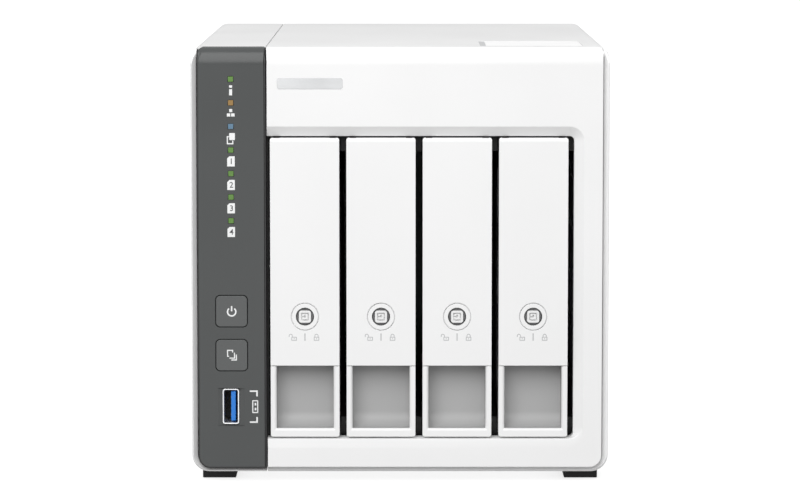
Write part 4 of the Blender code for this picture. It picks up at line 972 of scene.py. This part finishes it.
def usb_socket(name, z, mouth, inwards, shell_nodes, tongue_nodes, tongue_look):
    """Folded steel socket, its tongue and the tongue's contacts. inwards is 1 or -1 along Y."""

    def depths(start, end):
        return sorted((mouth + inwards * start, mouth + inwards * end))

    x = USB_X
    outer = square((x, z), USB_HALF_X, USB_HALF_Z, 0.95, 4)
    inner = square((x, z), USB_HALF_X - USB_WALL, USB_HALF_Z - USB_WALL, 0.5, 4)
    tube = prism("XZ", [outer, inner], *depths(0, USB_LENGTH))
    # the case's lighter steel is a painted highlight on its rim
    finish(tube, name + "_case", "socket", shell_nodes, edge=0.14)
    left, thickness, half_z = x + 0.05, 1.8, 5.7
    near, far = depths(0.9, USB_LENGTH - 2.8)
    tongue = block((left, near, z - half_z), (left + thickness, far, z + half_z))
    finish(tongue, name + "_tongue", tongue_look, tongue_nodes, edge=0.25)
    near, far = depths(USB_LENGTH - 2.9, USB_LENGTH - 0.4)
    half_x, half_z = USB_HALF_X - USB_WALL - 0.05, USB_HALF_Z - USB_WALL - 0.05
    # the back block is coloured near black as painted shade deep in the socket
    back = block((x - half_x, near, z - half_z), (x + half_x, far, z + half_z))
    finish(back, name + "_back", "socket_painted_shade", edge=0.1)
    near, far = depths(2.2, 9.0)
    middles = [z + offset for offset in (-3.5, -1.0, 1.0, 3.5)]
    strips = [block((left - 0.1, near, middle - 0.5), (left + 0.1, far, middle + 0.5)) for middle in middles]
    finish(gather(strips), name + "_contacts", "gold", edge=0.05, steps=2)


# ---------------------------------------------------------------- trays


def trays():
    fascia()
    flap()
    lock()
    for bay in BAYS:
        dress(f"tray_{bay}_carrier", "black", 0.25)
    drives()


def fascia():
    """Frame round the finger pocket, with the pocket's liner: white plastic coloured grey as painted shade of
    the deep pocket.
    """
    outline = corners((-TRAY_HALF, TRAY_BOTTOM), (TRAY_HALF, FASCIA_TOP), [0.9, 0.9, 0, 0])
    front_part = prism("XZ", outline, FACE, FASCIA_BACK)
    wall_half = POCKET_HALF + 0.6
    wall_low = (-wall_half, POCKET_BACK + 0.1, FASCIA_TOP - 2)
    join(front_part, block(wall_low, (wall_half, FASCIA_BACK, FASCIA_TOP + 10)))
    lining, gap, above = 0.4, 0.03, FASCIA_TOP + BEYOND
    low, back = (FACE + 0.9, POCKET_BOTTOM - lining), POCKET_BACK + lining
    seat = corners(low, (back, above), [0, 4.0, 0, 0], 10)
    rings = []
    for depth, spread in ((-1.0, POCKET_CHAMFER + 1.0), (POCKET_CHAMFER, 0.0), (2.0, 0.0)):
        half = POCKET_HALF + spread
        loop = corners((-half, POCKET_BOTTOM - spread), (half, above), 0)
        rings.append([(x, FACE + depth, z) for x, z in loop])
    half = POCKET_HALF + lining
    cut(front_part, prism("YZ", seat, -half, half), loft(rings))
    per_bay(front_part, "tray_{}_fascia_frame", "white_face", ["tray_{}_fascia"])
    outer = corners((low[0] + gap, low[1] + gap), (back - gap, FASCIA_TOP + 9.0), [0, 3.9, 0, 0], 10)
    inner = corners((FACE - 5, POCKET_BOTTOM), (POCKET_BACK, above), [0, 5.5, 0, 0], 16)
    liner = prism("YZ", outer, -half + gap, half - gap)
    cut(liner, prism("YZ", inner, -POCKET_HALF, POCKET_HALF))
    # the liner's grey is painted shade of the recess
    per_bay(liner, "tray_{}_pocket_liner", "pocket", edge=0.12)


def flap():
    """Lever over the upper tray front: face plate, side skirts, hinge barrel and latch hook."""
    top = TRAY_TOP - LEVER_DROP
    face = corners((-TRAY_HALF, FLAP_BOTTOM), (TRAY_HALF, top), [0, 0, 0.9, 0.9])
    plate = prism("XZ", face, FACE, FACE + FLAP_THICKNESS)
    side = corners((FACE, FLAP_BOTTOM - 5), (FACE + BEYOND, top), [0, 0, 0, LEVER_ROUND], 12)
    keep(plate, prism("YZ", side, -TRAY_HALF - 5, TRAY_HALF + 5))
    barrel = rod("X", (0, HINGE_Y, HINGE_Z), BARREL_RADIUS, 2 * BARREL_HALF, 40)
    hook = block((-4.0, FACE + 2.0, FLAP_BOTTOM + 2.5), (4.0, SKIRT_BACK, FLAP_BOTTOM + 4.5))
    join(plate, barrel, hook)
    for sign in (-1, 1):
        skirt = sorted((sign * (TRAY_HALF - 0.02), sign * (TRAY_HALF - SKIRT_THICKNESS + 0.15)))
        notch = sorted((sign * (EAR_INNER - 0.4), sign * (EAR_OUTER + 0.4)))
        low = (skirt[0], FACE + 0.9, FLAP_BOTTOM + 0.02)
        join(plate, block(low, (skirt[1], SKIRT_BACK, SKIRT_TOP - 0.3)))
        low = (notch[0], FACE + 1.1, HINGE_Z - EAR_HEIGHT / 2 - 1.0)
        cut(plate, block(low, (notch[1], SKIRT_BACK + 2, TRAY_TOP + 1)))
    groove = [ring_points((0, LOCK_Z), radius) for radius in (GROOVE_OUTER, GROOVE_INNER)]
    cut(
        plate,
        rod("X", (0, HINGE_Y, HINGE_Z), 1.1, 2 * BARREL_HALF + 2, 24),
        rod("Y", (0, FACE, LOCK_Z), WELL_RADIUS, 12, 64),
        prism("XZ", groove, FACE - 1, FACE + GROOVE_DEPTH),
    )
    body = "tray_{}_flap"
    per_bay(
        plate, "tray_{}_lever", "white_face", [body], body, edge=0.12, crisp_behind=FACE + 0.8, triangles=True
    )
    per_bay(lock_prints(), "tray_{}_lock_marks", "ink_grey", body=body, edge=0.0)


def lock_prints():
    """Open padlock, index line and closed padlock under the lock."""
    z, width = 57.0, 0.3
    loops = []
    for x, lifted in ((-4.2, True), (4.45, False)):
        body = square((x, z - 0.55), 1.05, 0.75, 0.15, 2)
        inside = square((x, z - 0.55), 0.75, 0.45, 0.05, 2)
        loops.append([body, inside])
        loops.append([square((x, z - 0.55), 0.18, 0.18)])
        arc = ring_points((x - (1.3 if lifted else 0.0), z + 0.6), 0.62, 14, 0, 180)
        foot_left = (arc[-1][0], z + (0.15 if lifted else 0.2))
        foot_right = (arc[0][0], z + 0.2)
        loops.append([stroke([foot_right, *arc, foot_left], width)])
    loops.append([square((0.0, z + 0.1), 0.22, 1.42)])
    return gather([prism("XZ", loop, FACE - 0.02, FACE + 0.02) for loop in loops])


def lock():
    """Dark core in the round well, its dark grey a painted shade of the gap round the post, a white post with
    the key's slot, and the cam behind.
    """
    centre = (0, (LOCK_FACE + LOCK_BACK) / 2, LOCK_Z)
    core = rod("Y", centre, LOCK_RADIUS, LOCK_BACK - LOCK_FACE, 64)
    cam_back = LOCK_BACK + 0.4
    cam = corners((-1.5, LOCK_Z - 1.5), (1.5, LOCK_Z + 6.0), [1.4, 1.4, 0.6, 0.6])
    join(core, prism("XZ", cam, cam_back - 1.5, cam_back))
    per_bay(core, "tray_{}_lock_core", "lock_core", ["tray_{}_lock"], "tray_{}_lock", edge=0.12)
    post = prism("XZ", square((0, LOCK_Z), POST_HALF, None, 0.95), FACE + 0.05, LOCK_FACE - 0.02)
    slot = [square((0, LOCK_Z), 1.5, None, 0.25, 3), square((0, LOCK_Z), 1.1, None, 0.15, 3)]
    floor = LOCK_FACE - 0.2
    cut(post, prism("XZ", slot, FACE - 1, floor))
    cut(post, block((-1.3, FACE - 1, LOCK_Z - 0.25), (0.35, floor, LOCK_Z + 0.25)))
    cut(post, block((-0.25, FACE - 1, LOCK_Z - 0.3), (0.25, floor, LOCK_Z + 0.75)))
    per_bay(post, "tray_{}_lock_post", "lock_post", body="tray_{}_lock", edge=0.08)


def on_drive(y, z):
    """A point in the drive's side view, from its lower front corner."""
    return (DRIVE_FRONT + y, DRIVE_BOTTOM + z)


def drives():
    """Cast body with a board on its left side, a pressed lid and a blank label on its right."""
    lid_seat, face = DRIVE_HALF - 1.0, -DRIVE_HALF
    length, height = DRIVE_BACK - DRIVE_FRONT, DRIVE_TOP - DRIVE_BOTTOM
    case = block((face, DRIVE_FRONT, DRIVE_BOTTOM), (lid_seat, DRIVE_BACK, DRIVE_TOP))
    notch_low = (SATA_LEFT - 0.6, SATA_FRONT - 0.8, SATA_BOTTOM - 0.8)
    notch_high = (SATA_RIGHT + 0.6, DRIVE_BACK + BEYOND, SATA_TOP + 0.8)
    board_area = corners(on_drive(52.0, 4.0), on_drive(length + 1.0, height - 4.0), [2.0, 0, 0, 2.0])
    cut(case, block(notch_low, notch_high), prism("YZ", board_area, face - 5, face + 2.4))
    pockets = [square(on_drive(22.0, 18.0 + 32.0 * i), 13.0, 12.0, 2.5) for i in range(3)]
    cut(case, *[prism("YZ", pocket, face - 5, face + 1.5) for pocket in pockets])
    for y in (28.5, 70.0, 130.0):
        cut(case, *[rod("Z", (-6.7, *on_drive(y, z)), 1.6, 8.0, 20) for z in (0.0, height)])
    per_bay(case, "drive_{}_body", "cast", ["drive_{}_case"], edge=0.5)
    motor = on_drive(62.0, height / 2)
    edge = corners(on_drive(53.0, 5.0), on_drive(length - 2.5, height - 5.0), 1.5)
    board = prism("YZ", [edge, ring_points(motor, 13.5, 48)], face + 1.0, face + 2.2)
    per_bay(board, "drive_{}_board", "drive_board", edge=0.08, steps=2)
    chips = ((100.0, 6.0, 7.5, 7.5), (84.0, 30.0, 5.0, 4.0), (118.0, 27.0, 3.2, 5.5), (92.0, -24.0, 4.0, 4.0))
    packages = []
    for y, above_middle, half_y, half_z in chips:
        outline = square(on_drive(y, height / 2 + above_middle), half_y, half_z, 0.3, 2)
        packages.append(prism("YZ", outline, face + 0.15, face + 1.0))
    per_bay(gather(packages), "drive_{}_chips", "black", edge=0.08, steps=2)
    hub = rod("X", (face + 1.3, *motor), 12.5, 1.8, 64)
    ring = [ring_points(motor, 10.0, 48), ring_points(motor, 9.0, 48)]
    cut(hub, prism("YZ", ring, face - 2, face + 0.9), rod("X", (face, *motor), 1.6, 2.0, 24))
    per_bay(hub, "drive_{}_motor", "lid", edge=0.15)
    drive_lid(lid_seat, length, height)


def drive_lid(seat, length, height):
    """Pressed steel lid with a raised middle, edge screws, a seal disc and a blank label."""
    margin, face = 0.6, DRIVE_HALF
    long, high = length - margin, height - margin
    outline = corners(on_drive(margin, margin), on_drive(long, high), 5.0)
    raised = corners(on_drive(margin + 6.0, margin + 6.0), on_drive(long - 30.0, high - 6.0), 10.0, 12)
    layers = [
        prism("YZ", outline, seat + 0.05, face - 0.35),
        prism("YZ", raised, seat + 0.1, face - 0.1),
        prism("YZ", ring_points(on_drive(long - 22.0, high - 24.0), 13.0, 48), seat + 0.15, face - 0.05),
        rod("X", (face - 0.4, *on_drive(long - 10.0, margin + 22.0)), 2.0, 0.3, 32),
    ]
    per_bay(gather(layers), "drive_{}_cover", "lid", ["drive_{}_lid"], edge=0.0)
    label = corners(on_drive(16.0, 14.0), on_drive(104.0, height - 14.0), 2.0)
    per_bay(prism("YZ", label, face - 0.1, face - 0.03), "drive_{}_label", "paper", edge=0.0)
    bars = []
    for row in range(3):
        for i in range(26):
            y = 24.0 + 1.8 * i + 0.5 * ((i * 7 + row * 3) % 3)
            half = 0.28 + 0.22 * ((i * 5 + row) % 3)
            bars.append(square(on_drive(y, height - 24.0 - 11.0 * row), half, 2.6))
    per_bay(prism("YZ", bars, face - 0.05, face - 0.015), "drive_{}_label_bars", "bar_ink", edge=0.0)
    inset, edge_inset = margin + 3.6, margin + 3.0
    places = [(y, z) for y in (inset, length - inset) for z in (inset, height - inset)]
    places += [(margin + 75.0, z) for z in (edge_inset, height - edge_inset)]
    spots = [(face - 0.33, *on_drive(y, z)) for y, z in places]
    per_bay(scatter(screw_head("X", 1.9, 0.3, 6), spots), "drive_{}_screws", "screw", edge=0.05, steps=2)


def screw_head(axis, radius, height, star=0):
    """Low screw head rising from the origin: tapered along X, straight along Y, with a star or a cross."""
    middle = [height / 2 if letter == axis else 0 for letter in "XYZ"]
    head = rod(axis, middle, radius, height, 32, tip=radius * 0.8 if axis == "X" else None)
    if star:
        loop = []
        for i in range(star * 2):
            reach, angle = radius * (0.55 if i % 2 else 0.36), pi * i / star
            loop.append((reach * cos(angle), reach * sin(angle)))
    else:
        arm, half = radius * 0.62, radius * 0.14
        loop = [(-arm, -half), (-half, -half), (-half, -arm), (half, -arm), (half, -half), (arm, -half)]
        loop += [(-a, -b) for a, b in loop]
    return cut(head, prism("YZ" if axis == "X" else "XZ", loop, height * 0.35, height + 1))


# ---------------------------------------------------------------- inside


def inside():
    """Chassis, guides and boards, and the contact pins of the drive sockets."""
    for node in ("chassis_base", "cage_left_wall", "cage_right_wall", "cage_roof"):
        dress(node, "zinc", 0.15)
    for node in ("lower_guide", "upper_guide"):
        dress(node, "black", 0.25)
    dress("backplane_board", "board", 0.1)
    dress("main_board", "board", 0.1)
    dress("heat_sink", "sink", 0.15)
    for bay in BAYS:
        dress(f"sata_socket_{bay}", "black", 0.2)
    middle = (SATA_LEFT + SATA_RIGHT) / 2
    pins = []
    for i in range(22):
        z = SATA_BOTTOM + 5.0 + 1.27 * i + (4.5 if i > 14 else 0.0)
        low = (middle - 0.85, SATA_FRONT + 0.8, z - 0.3)
        pins.append(block(low, (middle - 0.6, SATA_FRONT + 4.4, z + 0.3)))
    per_bay(gather(pins), "sata_pins_{}", "gold", body="enclosure", edge=0.0)


# ---------------------------------------------------------------- rear


def fan_screw_places():
    half = SCREW_PITCH / 2
    return [(FAN_X + i * half, FAN_Z + j * half) for i in (-1, 1) for j in (-1, 1)]


def rear_sheet():
    """Sheet with the honeycomb grille, the sockets' cut-outs and a raised rim round the grille."""
    inset = WALL + FIT
    low, high = (-SIDE + inset, BODY_BOTTOM + inset), (SIDE - inset, HEIGHT - inset)
    outline = corners(low, high, [4.2, 4.2, 2.2, 2.2])
    loops = []
    row_height = HEX_PITCH * sqrt(3) / 2
    rows = int(GRILLE_RADIUS / row_height) + 1
    corner = HEX_FLAT / sqrt(3)
    for row in range(-rows, rows + 1):
        shift = HEX_PITCH / 2 if row % 2 else 0.0
        for column in range(-rows, rows + 1):
            x, z = column * HEX_PITCH + shift, row * row_height
            if hypot(x, z) < GRILLE_RADIUS - corner:
                loops.append(ring_points((FAN_X + x, FAN_Z + z), corner, 6, 30))
    loops += [ring_points(place, FAN_SCREW_HOLE, 24) for place in fan_screw_places()]
    for z, (width, half) in ((LAN_Z[0], LAN_CUTOUT), (LAN_Z[1], LAN_CUTOUT), (DC_Z, DC_CUTOUT)):
        loops.append(corners((BOARD_FACE - 0.1, z - half), (BOARD_FACE + width, z + half), 0.5, 3))
    loops += [square((USB_X, z), USB_HALF_X + 0.2, USB_HALF_Z + 0.2, 1.0, 4) for z in REAR_USB_Z]
    loops.append(ring_points((CONTROL_X, RESET_Z), 1.1, 24))
    loops.append(square((CONTROL_X, SECURITY_SLOT_Z), 1.5, 3.5, 0.6, 4))
    holes = gather([prism("XZ", loop, REAR_FRONT - 1, REAR_BACK + 1) for loop in loops])
    sheet = cut(prism("XZ", outline, REAR_FRONT, REAR_BACK), holes)
    finish(sheet, "rear_sheet", "zinc", ["rear_panel"], edge=0.12, steps=2)
    rings = [ring_points((FAN_X, FAN_Z), radius, 96) for radius in (RIM_OUTER, RIM_INNER)]
    finish(prism("XZ", rings, REAR_BACK - 0.1, REAR_BACK + RIM_RISE), "grille_rim", "zinc")
    spots = [(x, REAR_BACK, z) for x, z in fan_screw_places()]
    finish(scatter(screw_head("Y", 3.3, 0.9), spots), "fan_screws", "screw", edge=0.18)
    edge_x, low_z, high_z = high[0] - 4.0, low[1] + 4.0, high[1] - 4.0
    places = [(x, z) for x in (-edge_x, edge_x) for z in (low_z, high_z)]
    places += [(edge_x, (low_z + high_z) / 2), (-10.0, high_z), (-10.0, low_z)]
    spots = [(x, REAR_BACK, z) for x, z in places]
    finish(scatter(screw_head("Y", 2.6, 0.9), spots), "panel_screws", "screw", edge=0.15)
    plate = prism("XZ", square((FAN_X, 20.2), 30.0, 5.0, 0.8), REAR_BACK + 0.02, REAR_BACK + 0.14)
    finish(plate, "rear_blank_label", "paper", edge=0.0)
    rear_marks()


def rear_marks():
    """Plain pictograms beside the sockets."""
    x, loops = -50.6, []
    for z in LAN_Z:
        loops += [square((x + dx, z + dz), 0.7) for dx, dz in ((0.0, 1.2), (-1.1, -1.2), (1.1, -1.2))]
    for z in REAR_USB_Z:
        loops.append([square((x, z), 1.0, 2.4, 0.2, 2), square((x, z), 0.65, 2.05, 0.1, 2)])
    loops.append([ring_points((x, DC_Z), 1.9, 32), ring_points((x, DC_Z), 1.5, 32)])
    loops.append(ring_points((x, DC_Z), 0.7, 24))
    loops.append(stroke(ring_points((x, RESET_Z), 1.5, 24, 60, 290), 0.4))
    print_loops(loops, REAR_BACK, "rear_marks", "bar_ink")


def sockets():
    """Network, USB and power sockets with their contacts and lamps."""
    for number, z in enumerate(LAN_Z, 1):
        dress(f"lan_socket_{number}", "steel", 0.2)
        left, right = BOARD_FACE + 0.3, BOARD_FACE + 13.6
        wires = []
        for i in range(8):
            low = (left + 3.0, PORT_FACE - 11.0, z - 3.57 + 1.02 * i - 0.25)
            wires.append(block(low, (left + 3.4, PORT_FACE - 3.0, low[2] + 0.5)))
        finish(gather(wires), f"lan_contacts_{number}", "gold", edge=0.08, steps=2)
        for tag, side, look in (("low", -1, "green_lens"), ("high", 1, "amber_lens")):
            window = square((right - 1.9, z + side * 5.6), 0.9, 1.4, 0.2, 2)
            lamp = prism("XZ", window, PORT_FACE - 0.2, PORT_FACE + 0.06)
            finish(lamp, f"lan_lamp_{number}_{tag}", look, edge=0.06, steps=2)
    for number, z in enumerate(REAR_USB_Z, 1):
        look = "blue" if number == 1 else "black"
        usb_socket(f"rear_usb_{number}", z, PORT_FACE, -1, [f"rear_usb_socket_{number}"], (), look)
    dress("dc_jack", "black", 0.25)
    pin = rod("Y", (BOARD_FACE + 5.3, PORT_FACE - 5.5, DC_Z), 1.05, 9.6, 32)
    finish(pin, "dc_pin", "gold", edge=0.3)
    dress("reset_plunger", "black", 0.2)


def fan():
    """Frame, hub with a blank sticker, and swept blades."""
    dress("fan_frame", "fan_black", 0.4)
    y_low, y_high = FAN_BACK - 23.5, FAN_BACK - 4.0
    hub = rod("Y", (FAN_X, (y_low + y_high) / 2, FAN_Z), HUB_RADIUS, y_high - y_low, 96)
    ring = [ring_points((FAN_X, FAN_Z), 16.5, 64), ring_points((FAN_X, FAN_Z), 15.5, 64)]
    cut(hub, prism("XZ", ring, y_low - 1, y_low + 0.5))
    finish(hub, "fan_hub", "fan_black", ["fan_rotor"], "fan_rotor", edge=1.2, steps=4)
    bm = bmesh.new()
    for number in range(BLADE_COUNT):
        blade(bm, 2 * pi * number / BLADE_COUNT, y_low + 2.5, y_high - 1.5)
    blades = mesh_object(bm)
    solid = blades.modifiers.new("thickness", "SOLIDIFY")
    solid.thickness = 1.4 * MM
    solid.offset = 0
    bake(blades)
    finish(blades, "fan_blades", "fan_black", body="fan_rotor", edge=0.35)
    sticker = rod("Y", (FAN_X, y_low - 0.02, FAN_Z), 14.6, 0.12, 64)
    finish(sticker, "fan_hub_sticker", "paper", body="fan_rotor", edge=0.0)


def blade(bm, turn, y_low, y_high):
    """One blade's curved sheet, turned about the hub and swept back towards its tip."""
    radial, chord = 12, 12
    root, tip = HUB_RADIUS - 1.0, FAN_BORE - 2.5
    rows = []
    for i in range(radial + 1):
        share = i / radial
        radius = root + (tip - root) * share
        half_chord = radians(19.0 + 3.0 * share)
        lead = radians(-14.0 * share * share)
        flatten = 1.0 - 0.35 * share
        row = []
        for j in range(chord + 1):
            along = 2 * j / chord - 1
            angle = turn + lead + half_chord * along
            y = (y_low + y_high) / 2 + (y_high - y_low) / 2 * flatten * (along + 0.25 * (1 - along * along))
            point = (FAN_X + radius * cos(angle), y, FAN_Z + radius * sin(angle))
            row.append(bm.verts.new(Vector(point) * MM))
        rows.append(row)
    for lower, upper in zip(rows, rows[1:]):
        for j in range(chord):
            bm.faces.new((lower[j], lower[j + 1], upper[j + 1], upper[j]))


# ---------------------------------------------------------------- studio


CAMERA_PLACE, CAMERA_PITCH, CAMERA_LENS = (0.0, -1.5115, 0.2365), 5.9263, 164.7
KEY_PLACE, KEY_TARGET, KEY_SIZE, KEY_POWER = (-0.2, -0.88, 0.64), (0.0, -0.1, 0.165), (0.8, 0.75), 6.7


def area_light(name, place, target, size, power):
    light = bpy.data.lights.new(name, "AREA")
    light.shape = "RECTANGLE"
    light.size, light.size_y = size
    light.energy = power
    obj = add_object(light)
    obj.location = place
    obj.rotation_euler = (Vector(target) - Vector(place)).to_track_quat("-Z", "Y").to_euler()


def studio_floor():
    """A self-lit floor whose glow is dimmed round the unit, a painted contact shadow so that it seems to rest
    on it.
    """
    bm = bmesh.new()
    bmesh.ops.create_grid(bm, x_segments=1, y_segments=1, size=20.0)
    floor = mesh_object(bm)
    floor.name = "studio_floor"
    look = Look("studio_floor", None, roughness=0.9)
    look.shader.inputs["Base Color"].default_value = (0.45, 0.45, 0.45, 1.0)
    look.shader.inputs["Emission Color"].default_value = (1.0, 1.0, 1.0, 1.0)
    flat = look.stretched((1.0, SIDE / BACK, 0.0))
    reach = look.node("ShaderNodeVectorMath", {"Vector": flat}, operation="LENGTH").outputs["Value"]
    # painted shadow: the floor's glow falls from 0.8 to 0.74 close round the unit
    glow = look.span(reach, 0.74, 0.8, 0.07, 0.2)
    look.tree.links.new(glow, look.shader.inputs["Emission Strength"])
    floor.data.materials.append(look.material)
    floor.location.z = -0.0002
    floor.visible_diffuse = False


def studio_world():
    """A broad soft light overhead, and dimmer sides: the left one more than the right one."""
    world = bpy.data.worlds.new("studio")
    nodes = Nodes(world)
    ray = nodes.node("ShaderNodeTexCoord").outputs["Generated"]
    towards = nodes.node("ShaderNodeSeparateXYZ", {"Vector": ray}).outputs
    sides = nodes.span(towards["X"], 0.25, 0.65, -0.8, 0.8)
    above = nodes.span(towards["Z"], sides, 0.88, 0.05, 0.75)
    glow = nodes.span(towards["Z"], 0.38, above, -0.15, 0.0)
    background = nodes.tree.nodes["Background"]
    background.inputs["Color"].default_value = (1.0, 1.0, 1.0, 1.0)
    nodes.tree.links.new(glow, background.inputs["Strength"])
    bpy.context.scene.world = world


def studio():
    studio_floor()
    studio_world()
    area_light("key", KEY_PLACE, KEY_TARGET, KEY_SIZE, KEY_POWER)
    bpy.context.scene.view_settings.view_transform = "Standard"
    camera = bpy.data.cameras.new("camera")
    camera.sensor_width = 36.0
    camera.lens = CAMERA_LENS
    obj = add_object(camera)
    obj.location = CAMERA_PLACE
    obj.rotation_euler = (radians(90.0 - CAMERA_PITCH), 0.0, 0.0)
    bpy.context.scene.camera = obj


def main():
    studio()
    casings()
    feet()
    bezel()
    indicator_strip()
    light_guides()
    indicator_prints()
    buttons()
    usb_socket("front_usb", USB_Z, FRONT + 0.3, 1, ["front_usb_shell"], ["front_usb_tongue"], "blue")
    trays()
    inside()
    rear_sheet()
    sockets()
    fan()


main()
